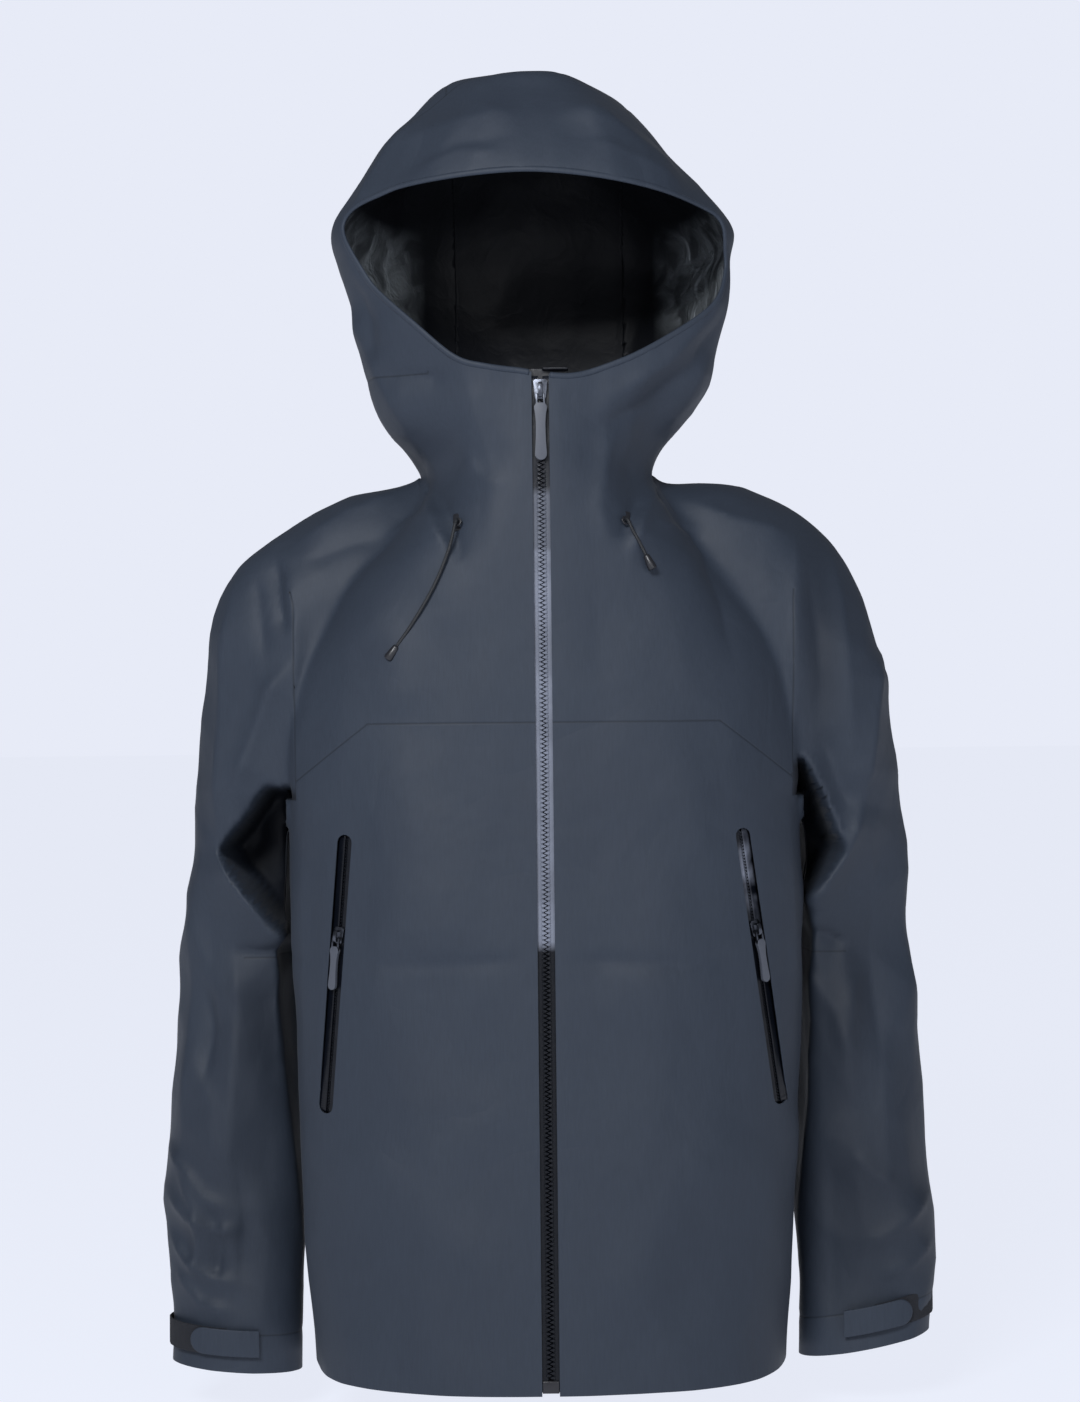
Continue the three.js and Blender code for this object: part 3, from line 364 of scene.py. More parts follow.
def makeHoodLining():
    material, tree, shader = newMaterial("hoodLining", 0.5)
    place = objectPlace(tree)
    split = tree.nodes.new("ShaderNodeSeparateXYZ")
    tree.links.new(place, split.inputs[0])
    # pale patches painted just inside the rim, at both sides of the face, stand in for the coated film's
    # glints (painted highlight); there the lining is also made more metallic and smoother
    aside = ramp(tree, mathNode(tree, "ABSOLUTE", split.outputs[0]), 0.094, 0.122)
    height = mathNode(tree, "ABSOLUTE", mathNode(tree, "SUBTRACT", split.outputs[2], 0.135))
    level = ramp(tree, height, 0.055, 0.02)
    crinkle = useGroup(tree, crinkleGroup, Vector=place, Scale=42.0)
    patchy = ramp(tree, crinkle.outputs["Patches"], 0.40, 0.60)
    coatingAndPaintedGlint = mathNode(tree, "MULTIPLY", aside, level)
    coatingAndPaintedGlint = mathNode(tree, "MULTIPLY", coatingAndPaintedGlint, mathNode(tree, "MULTIPLY_ADD", patchy, 0.75, 0.25), clamp=True)
    colour = blendColour(tree, coatingAndPaintedGlint, (0.006, 0.007, 0.010), (0.42, 0.46, 0.49))
    tree.links.new(colour, shader.inputs["Base Color"])
    tree.links.new(mathNode(tree, "MULTIPLY_ADD", coatingAndPaintedGlint, -0.28, 0.56), shader.inputs["Roughness"])
    tree.links.new(mathNode(tree, "MULTIPLY", coatingAndPaintedGlint, 0.35), shader.inputs["Metallic"])
    shader.inputs["Specular IOR Level"].default_value = 0.3
    depth = mathNode(tree, "MULTIPLY_ADD", coatingAndPaintedGlint, 0.012, 0.0012)
    bumpInto(tree, shader, mathNode(tree, "MULTIPLY", crinkle.outputs["Height"], depth), 1.0)
    return material


hoodLining = makeHoodLining()


def makeSimple(name, look):
    material, tree, shader = newMaterial(name, look["roughness"], look.get("metallic", 0.0))
    place = objectPlace(tree)
    crinkle = useGroup(tree, crinkleGroup, Vector=place, Scale=look["scale"])
    colour = blendColour(tree, crinkle.outputs["Patches"], look["low"], look["high"])
    tree.links.new(colour, shader.inputs["Base Color"])
    spread = look.get("roughnessSpread", 0.1)
    shine = mathNode(tree, "MULTIPLY_ADD", crinkle.outputs["Patches"], spread, look["roughness"] - spread / 2)
    tree.links.new(shine, shader.inputs["Roughness"])
    shader.inputs["Coat Weight"].default_value = look.get("coat", 0.0)
    shader.inputs["Coat Roughness"].default_value = 0.12
    bumpInto(tree, shader, mathNode(tree, "MULTIPLY", crinkle.outputs["Height"], look["bump"]), 1.0)
    return material


def makeZipFilm():
    material, tree, shader = newMaterial("zipFilm", 0.3)
    place = objectPlace(tree)
    split = tree.nodes.new("ShaderNodeSeparateXYZ")
    tree.links.new(place, split.inputs[0])
    aside = mathNode(tree, "ABSOLUTE", split.outputs[0])
    # pale colour painted on the chest stretch of the front zip and on top of the left pocket zip stands in
    # for the lamp's reflection (painted reflection), patchy like glints, dimmer along the collar and almost
    # none above it; the film is dark elsewhere
    front = mathNode(tree, "MULTIPLY", ramp(tree, aside, 0.05, 0.04),
                     ramp(tree, split.outputs[2], -0.388, -0.380))
    collar = mathNode(tree, "MULTIPLY", ramp(tree, split.outputs[2], -0.047, -0.040, 1.0, 0.08),
                      ramp(tree, split.outputs[2], -0.090, -0.086, 1.0, 0.55))
    front = mathNode(tree, "MULTIPLY", front, collar)
    pocket = mathNode(tree, "MULTIPLY", ramp(tree, split.outputs[0], 0.12, 0.13),
                      ramp(tree, split.outputs[2], -0.375, -0.35))
    crinkle = useGroup(tree, crinkleGroup, Vector=place, Scale=26.0)
    patchy = ramp(tree, crinkle.outputs["Patches"], 0.38, 0.58)
    paintedZipReflection = mathNode(tree, "MULTIPLY", front, mathNode(tree, "MULTIPLY_ADD", patchy, 0.25, 0.75))
    paintedReflection = mathNode(tree, "ADD", paintedZipReflection, mathNode(tree, "MULTIPLY", pocket, patchy), clamp=True)
    # painted reflection: the dark film is blended to a pale colour where the lamp's reflection is painted
    colour = blendColour(tree, paintedReflection, (0.003, 0.004, 0.007), (0.185, 0.203, 0.255))
    tree.links.new(colour, shader.inputs["Base Color"])
    tree.links.new(mathNode(tree, "MULTIPLY_ADD", paintedReflection, 0.14, 0.30), shader.inputs["Roughness"])
    shader.inputs["Specular IOR Level"].default_value = 0.25
    shader.inputs["Coat Weight"].default_value = 0.03
    shader.inputs["Coat Roughness"].default_value = 0.25
    weave = useGroup(tree, weaveGroup, Vector=place)
    weave.inputs["Threads per metre"].default_value = 3600.0
    height = mathNode(tree, "MULTIPLY", crinkle.outputs["Height"], 0.0016)
    height = mathNode(tree, "MULTIPLY_ADD", weave.outputs["Height"], 0.00004, height)
    bumpInto(tree, shader, height, 1.0)
    return material


zipFilm = makeZipFilm()
toothPlastic = makeSimple("toothPlastic", {
    "low": (0.010, 0.010, 0.013), "high": (0.018, 0.018, 0.023), "roughness": 0.34, "scale": 200.0,
    "bump": 0.0001})
sliderMetal = makeSimple("sliderMetal", {
    "low": (0.05, 0.055, 0.07), "high": (0.13, 0.14, 0.165), "roughness": 0.36, "metallic": 1.0,
    "roughnessSpread": 0.14, "scale": 300.0, "bump": 0.0001})
pullerRubber = makeSimple("pullerRubber", {
    "low": (0.055, 0.062, 0.080), "high": (0.070, 0.078, 0.100), "roughness": 0.5, "scale": 400.0,
    "bump": 0.00008})
cordBraid = makeSimple("cordBraid", {
    "low": (0.005, 0.006, 0.008), "high": (0.014, 0.016, 0.020), "roughness": 0.6, "scale": 900.0,
    "bump": 0.0006})
mouldedPlastic = makeSimple("mouldedPlastic", {
    "low": (0.010, 0.010, 0.013), "high": (0.017, 0.018, 0.022), "roughness": 0.36, "scale": 300.0,
    "bump": 0.0001})
loopPile = makeSimple("loopPile", {
    "low": (0.006, 0.007, 0.010), "high": (0.020, 0.022, 0.030), "roughness": 0.95, "scale": 1400.0,
    "bump": 0.0016})
print("materials made")

# The worn garment's form, as stacks of sections

sideLine = -25.0  # depth of the torso's widest line
zipLine = {"hem": -150.0, "chin": -118.0, "length": 760.0}


def frontAt(z):
    return zipLine["hem"] + (zipLine["chin"] - zipLine["hem"]) * np.asarray(z) / zipLine["length"]


torsoForm = {
    "sides": 96, "power": 2.4,
    # height, half width on the wearer's right, on the left, depth of the back
    "stations": [
        (-60, 181, 181, 116), (0, 184, 184, 119), (100, 188, 188, 124), (200, 194, 194, 127),
        (300, 197, 197, 127), (400, 198, 198, 125), (470, 197, 197, 122), (540, 186, 186, 118),
        (600, 154, 154, 108), (640, 116, 116, 95), (668, 90, 90, 84), (690, 84, 84, 80)],
}
hoodForm = {
    "sides": 96, "power": 2.3,
    # height, half width right, half width left, depth of the front, depth of the back
    "stations": [
        (600, 80, 80, -124.7, 76), (650, 84, 82, -122.6, 80), (690, 90, 86, -121, 83),
        (724, 117, 105, -119.5, 100), (742, 128, 119, -118.6, 110), (760, 134, 131, -118, 120),
        (796, 142, 142, -121, 136), (816, 143.5, 146, -124, 143), (840, 153, 148, -127, 147),
        (856, 157, 149, -129, 149), (874, 160, 153, -131, 150), (890, 155, 146, -132.5, 148),
        (910, 141, 129, -131, 143), (932, 126, 110, -122, 131), (957, 108, 89, -107, 110),
        (981, 84, 60, -88, 70), (992, 66, 40, -80, 36), (997, 50, 28, -72, 8)],
}
sleeveForm = {
    "sides": 72, "gap": 10.0, "armpit": 440.0,
    # distance out, depth, height, degrees below level, half width, half depth
    "right": [
        (58, 2, 635, 23, 56, 56), (116, 3, 617, 30, 69, 62), (157, 5, 594, 45, 75, 66),
        (177, 8, 565, 61, 81, 69), (182, 12, 520, 78, 80, 70), (197, 20, 436, 80, 77, 68),
        (213.5, 28, 357, 79, 70.5, 64), (225.5, 31, 312, 78, 65.5, 61), (237.5, 30, 258, 80, 60.5, 57),
        (244.8, 26, 199, 84, 57.8, 53), (249, 18, 120, 88, 56.5, 46), (249, 12, 60, 90, 53, 38),
        (248, 12, 20, 90, 52, 38), (248, 12, -60, 90, 52, 38)],
    "left": [
        (58, 2, 637, 23, 56, 56), (116, 3, 620, 30, 71, 62), (160, 5, 599, 42, 75, 66),
        (182.5, 8, 562, 62, 77, 69), (193.8, 12, 520, 78, 78, 70), (205.5, 20, 440, 82, 75.5, 68),
        (217.8, 28, 357, 81, 70, 64), (226.5, 31, 312, 80, 63.5, 61), (237.5, 30, 258, 81, 59.5, 57),
        (245, 26, 199, 84, 57, 53), (249.3, 18, 120, 88, 55.3, 46), (251, 12, 60, 90, 53, 38),
        (250, 12, 20, 90, 52, 38), (250, 12, -60, 90, 52, 38)],
}


def bulge(value, power):
    return np.sign(value) * np.abs(value) ** (2 / power)


def levelRings(form, rows):
    angle = 2 * np.pi * np.arange(form["sides"]) / form["sides"]
    rings = []
    for z, right, left, front, back in rows:
        out = bulge(np.cos(angle), form["power"])
        along = bulge(np.sin(angle), form["power"])
        x = out * np.where(out > 0, left, right)
        y = sideLine + along * np.where(along < 0, sideLine - front, back - sideLine)
        rings.append(np.column_stack([x, y, np.full_like(x, z)]))
    return np.array(rings)


def torsoRows():
    rows = smoothColumns(torsoForm["stations"], 6)
    return np.column_stack([rows[:, :3], frontAt(rows[:, 0]), rows[:, 3]])


def torsoHalf(y, z, grow):
    rows = torsoRows()
    half = np.interp(z, rows[:, 0], rows[:, 2]) + grow
    back = np.interp(z, rows[:, 0], rows[:, 4]) + grow
    front = frontAt(z) - grow
    depth = np.where(y < sideLine, sideLine - front, back - sideLine)
    share = np.clip(np.abs(y - sideLine) / depth, 0, 1)
    return half * (1 - share ** torsoForm["power"]) ** (1 / torsoForm["power"]) * (share < 1)


def sleeveRings(side, name):
    angle = 2 * np.pi * np.arange(sleeveForm["sides"]) / sleeveForm["sides"]
    rings = []
    for x, y, z, tilt, halfWidth, halfDepth in smoothColumns(sleeveForm[name], 8):
        lean = math.radians(tilt)
        out = halfWidth * np.cos(angle)
        ring = np.column_stack([
            x + out * math.sin(lean), y + halfDepth * np.sin(angle), z + out * math.cos(lean)])
        # below the underarm the sleeve hangs against the torso's side
        press = np.clip((sleeveForm["armpit"] + 8 - ring[:, 2]) / 30, 0, 1)
        press = press * press * (3 - 2 * press)
        wall = torsoHalf(ring[:, 1], ring[:, 2], sleeveForm["gap"])
        pushed = np.maximum(ring[:, 0], wall)
        ring[:, 0] += (pushed - ring[:, 0]) * press
        ring[:, 0] *= side
        rings.append(ring)
    return np.array(rings)


def faceOutward(mesh):
    work = bmesh.new()
    work.from_mesh(mesh)
    bmesh.ops.recalc_face_normals(work, faces=work.faces)
    work.to_mesh(mesh)
    work.free()


def smoothFaces(mesh):
    for polygon in mesh.polygons:
        polygon.use_smooth = True


def loftObject(name, rings):
    count = rings.shape[1]
    verts = toFrame(rings.reshape(-1, 3))
    faces = []
    for r in range(len(rings) - 1):
        for i in range(count):
            j = (i + 1) % count
            faces.append((r * count + i, r * count + j, (r + 1) * count + j, (r + 1) * count + i))
    last = (len(rings) - 1) * count
    faces.append(tuple(range(count))[::-1])
    faces.append(tuple(last + i for i in range(count)))
    made = meshObject(name, verts, faces)
    faceOutward(made.data)
    return made


voxel = 0.0036


def makeWholeForm():
    pieces = [
        loftObject("torsoForm", levelRings(torsoForm, torsoRows())),
        loftObject("hoodForm", levelRings(hoodForm, smoothColumns(hoodForm["stations"], 6))),
        loftObject("sleeveFormLeft", sleeveRings(1, "left")),
        loftObject("sleeveFormRight", sleeveRings(-1, "right")),
    ]
    deselectAll()
    for piece in pieces:
        piece.select_set(True)
    bpy.context.view_layer.objects.active = pieces[0]
    bpy.ops.object.join()
    whole = pieces[0]
    remesh = whole.modifiers.new("remesh", "REMESH")
    remesh.mode = "VOXEL"
    remesh.voxel_size = voxel
    bpy.ops.object.modifier_apply(modifier="remesh")
    return whole


def markSleeves(thing):
    mesh = thing.data
    c = np.array([p.center[:] for p in mesh.polygons]) * 1000 + hangPoint
    beyond = np.abs(c[:, 0]) > torsoHalf(c[:, 1], c[:, 2], sleeveForm["gap"] / 2)
    marks = mesh.attributes.new("sleeve", "INT", "FACE")
    marks.data.foreach_set("value", (beyond & (np.abs(c[:, 0]) > 120) & (c[:, 2] < 520)).astype(np.int32))


wholeForm = makeWholeForm()
markSleeves(wholeForm)
print("whole form", len(wholeForm.data.vertices), "points")


def readMesh(thing):
    mesh = thing.data
    points = np.empty(len(mesh.vertices) * 3)
    mesh.vertices.foreach_get("co", points)
    edges = np.empty(len(mesh.edges) * 2, dtype=np.int64)
    mesh.edges.foreach_get("vertices", edges)
    return points.reshape(-1, 3) * 1000 + hangPoint, edges.reshape(-1, 2)


def writePoints(thing, points):
    thing.data.vertices.foreach_set("co", toFrame(points).ravel())
    thing.data.update()


def readNormals(thing):
    normals = np.empty(len(thing.data.vertices) * 3)
    thing.data.vertices.foreach_get("normal", normals)
    return normals.reshape(-1, 3)


def relax(points, edges, weight, rounds):
    count = np.zeros(len(points))
    np.add.at(count, edges[:, 0], 1)
    np.add.at(count, edges[:, 1], 1)
    count = np.maximum(count, 1)[:, None]
    for _ in range(rounds):
        total = np.zeros_like(points)
        np.add.at(total, edges[:, 0], points[edges[:, 1]])
        np.add.at(total, edges[:, 1], points[edges[:, 0]])
        points = points + (total / count - points) * weight
    return points


# Folds: each is a ridge or a groove that follows a line over the cloth


def lineDistance(flat, line):
    best = np.full(len(flat), 1e9)
    side = np.zeros(len(flat))
    along = np.zeros(len(flat))
    line = np.array(line, dtype=float)
    lengths = np.linalg.norm(np.diff(line, axis=0), axis=1)
    total = lengths.sum()
    done = 0.0
    for a, b, length in zip(line[:-1], line[1:], lengths):
        direction = (b - a) / length
        offset = flat - a
        t = np.clip(offset @ direction, 0, length)
        away = offset - t[:, None] * direction
        distance = np.linalg.norm(away, axis=1)
        closer = distance < best
        cross = direction[0] * away[:, 1] - direction[1] * away[:, 0]
        best = np.where(closer, distance, best)
        side = np.where(closer, np.sign(cross), side)
        along = np.where(closer, (done + t) / total, along)
        done += length
    return best, side, along


foldGain = 1.5


def foldHeights(points, normals):
    heights = np.zeros(len(points))
    for rows, forward in ((frontFolds, -1), (backFolds, 1)):
        facing = np.clip(forward * normals[:, 1] * 2.2 + 0.35, 0, 1)
        for line, height, reach, sharp in rows:
            distance, side, along = lineDistance(points[:, (0, 2)], line)
            profile = np.exp(-((distance / np.where(side >= 0, *reach)) ** sharp))
            ends = np.clip(np.minimum(along, 1 - along) * 4 + 0.15, 0, 1)
            heights += height * profile * ends * facing
    return heights


frontFolds = [
    # line over the cloth, height of the ridge, reach on either side, sharpness
    # the chest's edges lie over the sleeves along both armholes
    ([(-207, 640), (-196, 606), (-189, 560), (-188, 440)], 3.2, (9, 16), 1.3),
    ([(198, 640), (195, 590), (192, 520), (192, 440)], 3.2, (16, 9), 1.3),
    ([(-186, 430), (-186, 300), (-184, 120), (-178, 10)], 2.5, (8, 14), 1.2),
    ([(188, 430), (189, 300), (188, 120), (182, 10)], 2.5, (14, 8), 1.2),
    # right sleeve
    ([(-236, 612), (-243, 558), (-246, 493), (-249, 442), (-252, 401)], 8, (20, 22), 0.95),
    ([(-191, 548), (-209, 524), (-231, 462), (-236, 440)], 7, (14, 12), 1.1),
    ([(-206, 628), (-203, 600), (-197, 566)], -5, (6, 9), 1.2),
    ([(-222, 612), (-218, 580), (-212, 548)], -3, (8, 8), 1.2),
    ([(-232, 440), (-228, 405), (-236, 392)], -3, (8, 8), 1.2),
    ([(-252, 403), (-236, 378), (-224, 357), (-196, 318)], 8, (6, 18), 1),
    ([(-216, 300), (-212, 262), (-214, 216)], -2.5, (22, 22), 1.2),
    ([(-244, 326), (-240, 280), (-246, 220), (-250, 150)], 4, (14, 16), 1),
    ([(-272, 300), (-262, 262), (-270, 214)], -3, (7, 9), 1.1),
    ([(-268, 420), (-276, 330), (-284, 240), (-288, 160)], 3, (10, 18), 1.2),
    ([(-262, 380), (-262, 300), (-266, 230)], -2.5, (12, 12), 1.2),
    # left sleeve
    ([(268, 552), (257, 537), (252, 500), (247, 442), (245, 430)], 8, (22, 18), 0.95),
    ([(199, 474), (213, 442), (222, 416), (231, 395)], 7, (6, 14), 1.1),
    ([(247, 434), (231, 395), (203, 350)], 7, (16, 6), 1.1),
    ([(214, 490), (226, 456), (238, 426)], -4, (9, 9), 1.3),
    ([(206, 620), (210, 580), (214, 530), (212, 490)], -3, (12, 12), 1.2),
    ([(228, 628), (232, 590), (232, 540), (236, 470)], 3.5, (12, 10), 1.2),
    ([(276, 480), (282, 400), (288, 300), (292, 200)], 3, (16, 10), 1.2),
    ([(262, 400), (258, 320), (262, 240), (256, 160)], -2.5, (14, 14), 1.2),
    ([(230, 340), (236, 280), (232, 210)], 3, (14, 14), 1.2),
    # elbows
    ([(-246, 323), (-224, 321), (-196, 323)], -4, (3, 8), 1),
    ([(202, 334), (218, 329), (238, 321)], -4, (3, 8), 1),
    ([(206, 300), (226, 270), (236, 236)], 3, (6, 9), 1),
    ([(244, 300), (236, 250), (240, 190)], 3, (6, 12), 1),
    ([(-284, 250), (-262, 200), (-262, 140)], 3, (12, 22), 1.2),
    ([(266, 250), (262, 190), (268, 120)], 3, (22, 12), 1.2),
    # crumpled cloth above the right cuff
    ([(-304, 168), (-284, 150), (-268, 128), (-246, 118)], 4, (5, 10), 1),
    ([(-300, 132), (-282, 112), (-262, 104), (-238, 104)], 5, (5, 9), 1),
    ([(-302, 100), (-286, 78), (-268, 66), (-244, 62)], 5, (4, 9), 1),
    ([(-296, 70), (-276, 46), (-248, 38)], 4, (5, 8), 1),
    ([(-290, 150), (-276, 118), (-276, 88), (-284, 60)], 4, (6, 5), 1),
    ([(-266, 120), (-258, 92), (-262, 60)], -4, (5, 6), 1.1),
    ([(-244, 150), (-236, 110), (-240, 60)], -3, (7, 9), 1.2),
    ([(304, 124), (284, 108), (262, 92), (244, 88)], 3.5, (5, 10), 1),
    ([(302, 88), (282, 70), (256, 62)], 3, (5, 9), 1),
    ([(238, 160), (256, 140), (272, 132)], 2.5, (5, 8), 1),
    # base of the neck
    ([(-92, 696), (-87, 672), (-78, 644), (-66, 622)], 5, (4, 16), 1),
    ([(-82, 676), (-68, 648), (-62, 618)], -3, (7, 7), 1.2),
    ([(92, 700), (84, 674), (74, 650), (66, 622)], 5, (16, 4), 1),
    ([(76, 668), (66, 650), (60, 634)], -2.5, (6, 6), 1.2),
    ([(-60, 700), (-44, 682), (-24, 676)], 1.8, (5, 9), 1),
    ([(-120, 640), (-100, 652), (-84, 656)], 2.2, (4, 8), 1),
    ([(84, 650), (112, 640), (132, 618)], 2.4, (4, 8), 1),
    ([(98, 676), (120, 640), (140, 590), (146, 540)], -3.5, (14, 14), 1.2),
    ([(84, 668), (104, 652), (124, 644)], 3, (8, 8), 1.2),
    ([(60, 720), (48, 690), (44, 660), (50, 630)], 2.5, (10, 10), 1.2),
    # hood sides
    ([(-150, 842), (-136, 800), (-118, 760), (-96, 716)], 4.5, (9, 14), 1.2),
    ([(-140, 838), (-128, 806), (-124, 772)], -3.5, (8, 8), 1.2),
    ([(-122, 766), (-96, 762), (-70, 758)], -2, (4, 8), 1.2),
    ([(146, 846), (128, 806), (96, 770), (52, 740)], 5, (14, 9), 1.2),
    ([(140, 812), (116, 768), (84, 738), (40, 716)], -3.5, (9, 9), 1.2),
    ([(132, 780), (112, 744), (92, 716)], 3, (10, 8), 1.2),
    # brim and crest
    ([(-142, 886), (-128, 912), (-112, 938), (-88, 962)], 3, (9, 5), 1),
    ([(-96, 918), (-60, 930), (-24, 926)], 1.3, (5, 8), 1),
    ([(-46, 966), (-8, 952), (30, 958), (62, 946)], 1.6, (6, 9), 1),
    ([(40, 934), (78, 922), (112, 904)], 1.6, (5, 8), 1),
    ([(-120, 934), (-84, 950), (-30, 958), (40, 952)], 2.2, (12, 16), 1.2),
    ([(-10, 968), (44, 958), (92, 930), (120, 902)], 2.4, (10, 14), 1.2),
    ([(-118, 912), (-60, 934), (0, 940), (60, 934)], -1.6, (12, 12), 1.2),
    # torso
    ([(-190, 322), (-100, 318), (0, 322), (100, 318), (190, 324)], -1.6, (5, 9), 1.2),
    ([(-120, 500), (-96, 400), (-90, 300)], 3, (36, 30), 2),
    ([(110, 480), (92, 380), (96, 260)], 3, (30, 36), 2),
    ([(-150, 190), (-90, 120), (-30, 90)], 2.5, (26, 26), 2),
    ([(140, 200), (80, 120), (40, 40)], 2.5, (26, 26), 2),
    ([(-140, 590), (-112, 560), (-104, 500)], 2.5, (22, 26), 2),
    ([(-188, 640), (-150, 660), (-110, 676)], 3, (8, 12), 1.2),
    ([(-184, 622), (-150, 636), (-118, 642)], -2, (10, 10), 1.2),
    ([(112, 668), (150, 652), (196, 640)], 3, (8, 12), 1.2),
]
backFolds = [
    ([(-150, 600), (-60, 560), (60, 560), (150, 600)], 3, (24, 24), 1.2),
    ([(-120, 460), (-60, 300), (-80, 120)], 5, (34, 30), 1.2),
    ([(110, 470), (70, 280), (90, 100)], 5, (30, 34), 1.2),
    ([(-60, 700), (-20, 724), (40, 718), (80, 700)], -3, (10, 12), 1.2),
    ([(-290, 380), (-230, 350), (-190, 370)], 5, (12, 16), 1.2),
    ([(190, 372), (230, 352), (290, 380)], 5, (12, 16), 1.2),
    ([(-290, 300), (-240, 310), (-200, 290)], 4, (12, 14), 1.2),
    ([(200, 292), (240, 310), (290, 300)], 4, (12, 14), 1.2),
]


def insideOutline(flat, outline):
    outline = np.asarray(outline)
    inside = np.zeros(len(flat), dtype=bool)
    x, z = flat[:, 0], flat[:, 1]
    for (x0, z0), (x1, z1) in zip(outline, np.roll(outline, -1, axis=0)):
        crosses = (z0 > z) != (z1 > z)
        with np.errstate(divide="ignore", invalid="ignore"):
            at = (x1 - x0) * (z - z0) / (z1 - z0) + x0
        inside ^= crosses & (x < at)
    return inside


# Places where the cloth falls back under a fold
recesses = [
    {"depth": 76, "edge": 4,
     "outline": [(-186, 449), (-216, 449), (-251, 401), (-199, 322), (-186, 326)]},
    {"depth": 76, "edge": 4,
     "outline": [(188, 468), (200, 466), (214, 440), (229, 397), (203, 353), (188, 356)]},
]


def recessDepths(points, marks):
    total = np.zeros(len(points))
    flat = points[:, (0, 2)]
    front = np.clip((8 - points[:, 1]) / 20, 0, 1)
    for recess in recesses:
        outline = recess["outline"]
        distance, _, _ = lineDistance(flat, outline + outline[:1])
        share = np.clip(distance / recess["edge"], 0, 1) * insideOutline(flat, outline)
        total += recess["depth"] * share * share * (3 - 2 * share) * front * marks
    return total


# painted shade in the soft hollows of the sleeves: place, half sizes, how dark
paintedHollowShade = [
    (-222, 268, 30, 70, 0.42), (-238, 120, 56, 90, 0.28), (-280, 470, 16, 120, 0.2),
    (222, 240, 26, 90, 0.36), (244, 110, 54, 90, 0.42), (214, 545, 16, 76, 0.42), (232, 300, 40, 60, 0.25),
]
shadeEnd = 70  # depth behind which no cloth is darkened


# painted shade: sleeve cloth is darkened in soft hollows, and fully inside the recesses under the folds
def paintedFoldShade(points):
    total = np.zeros(len(points))
    for x, z, wide, tall, dark in paintedHollowShade:
        apart = ((points[:, 0] - x) / wide) ** 2 + ((points[:, 2] - z) / tall) ** 2
        total += dark * np.exp(-apart) * np.clip((20 - points[:, 1]) / 30, 0, 1)
    # painted shadow inside the recesses under the sleeve folds
    for recess in recesses:
        outline = recess["outline"]
        distance, _, _ = lineDistance(points[:, (0, 2)], outline + outline[:1])
        total += np.clip(distance / 5, 0, 1) * insideOutline(points[:, (0, 2)], outline)
    return np.clip(total, 0, 1) * (points[:, 1] < shadeEnd)


def waves(points, rng, count, size, height):
    total = np.zeros(len(points))
    for _ in range(count):
        direction = rng.normal(size=3)
        direction /= np.linalg.norm(direction)
        turns = points @ direction * (2 * np.pi / (size * rng.uniform(0.7, 1.4)))
        total += np.sin(turns + rng.uniform(0, 6.28))
    return total * height / math.sqrt(count)


creases = [
    # crossing size, rise of the ridges, how rounded the hollows are, stretch along the height
    {"size": 105, "slope": 0.17, "round": 12, "tall": 1.8, "seed": 5},
    {"size": 46, "slope": 0.12, "round": 5, "tall": 1.4, "seed": 8},
]
creaseSamples = 2500


def crumple(points, look, busy):
    # cells of cloth that hollow between crisp ridges
    rng = np.random.default_rng(look["seed"])
    scale = np.array((1, 1, 1 / look["tall"]))
    chosen = rng.choice(len(points), creaseSamples, replace=False)
    seeds = KDTree(len(chosen))
    kept = []
    for i in chosen:
        place = points[i] * scale
        if all(np.sum((place - other) ** 2) > (0.8 * look["size"]) ** 2 for other in kept):
            kept.append(place)
            seeds.insert(place, len(kept))
    seeds.balance()
    near = np.array([seeds.find(place)[2] for place in points * scale])
    heights = look["slope"] * (np.sqrt(near ** 2 + look["round"] ** 2) - look["size"] * 0.5)
    return heights * busy


def busyness(points):
    x, y, z = points.T
    sleeve = np.clip((np.abs(x) - 196) / 24, 0, 1)
    elbow = np.exp(-(((z - 330) / 70) ** 2)) + 0.8 * np.exp(-(((z - 90) / 70) ** 2))
    hood = np.clip((z - 660) / 40, 0, 1)
    base = np.exp(-(((z - 690) / 50) ** 2))
    back = np.clip(y / 60, 0, 1)
    torso = 0.25 + 0.35 * back
    return (torso * (1 - hood) * (1 - sleeve) + sleeve * (0.55 + 0.7 * elbow) * (1 - hood)
            + hood * (0.55 + 0.5 * base))


pocketLines = {"Right": [(-168.5, 209), (-151.5, 409)], "Left": [(177.5, 211), (149.5, 411)]}


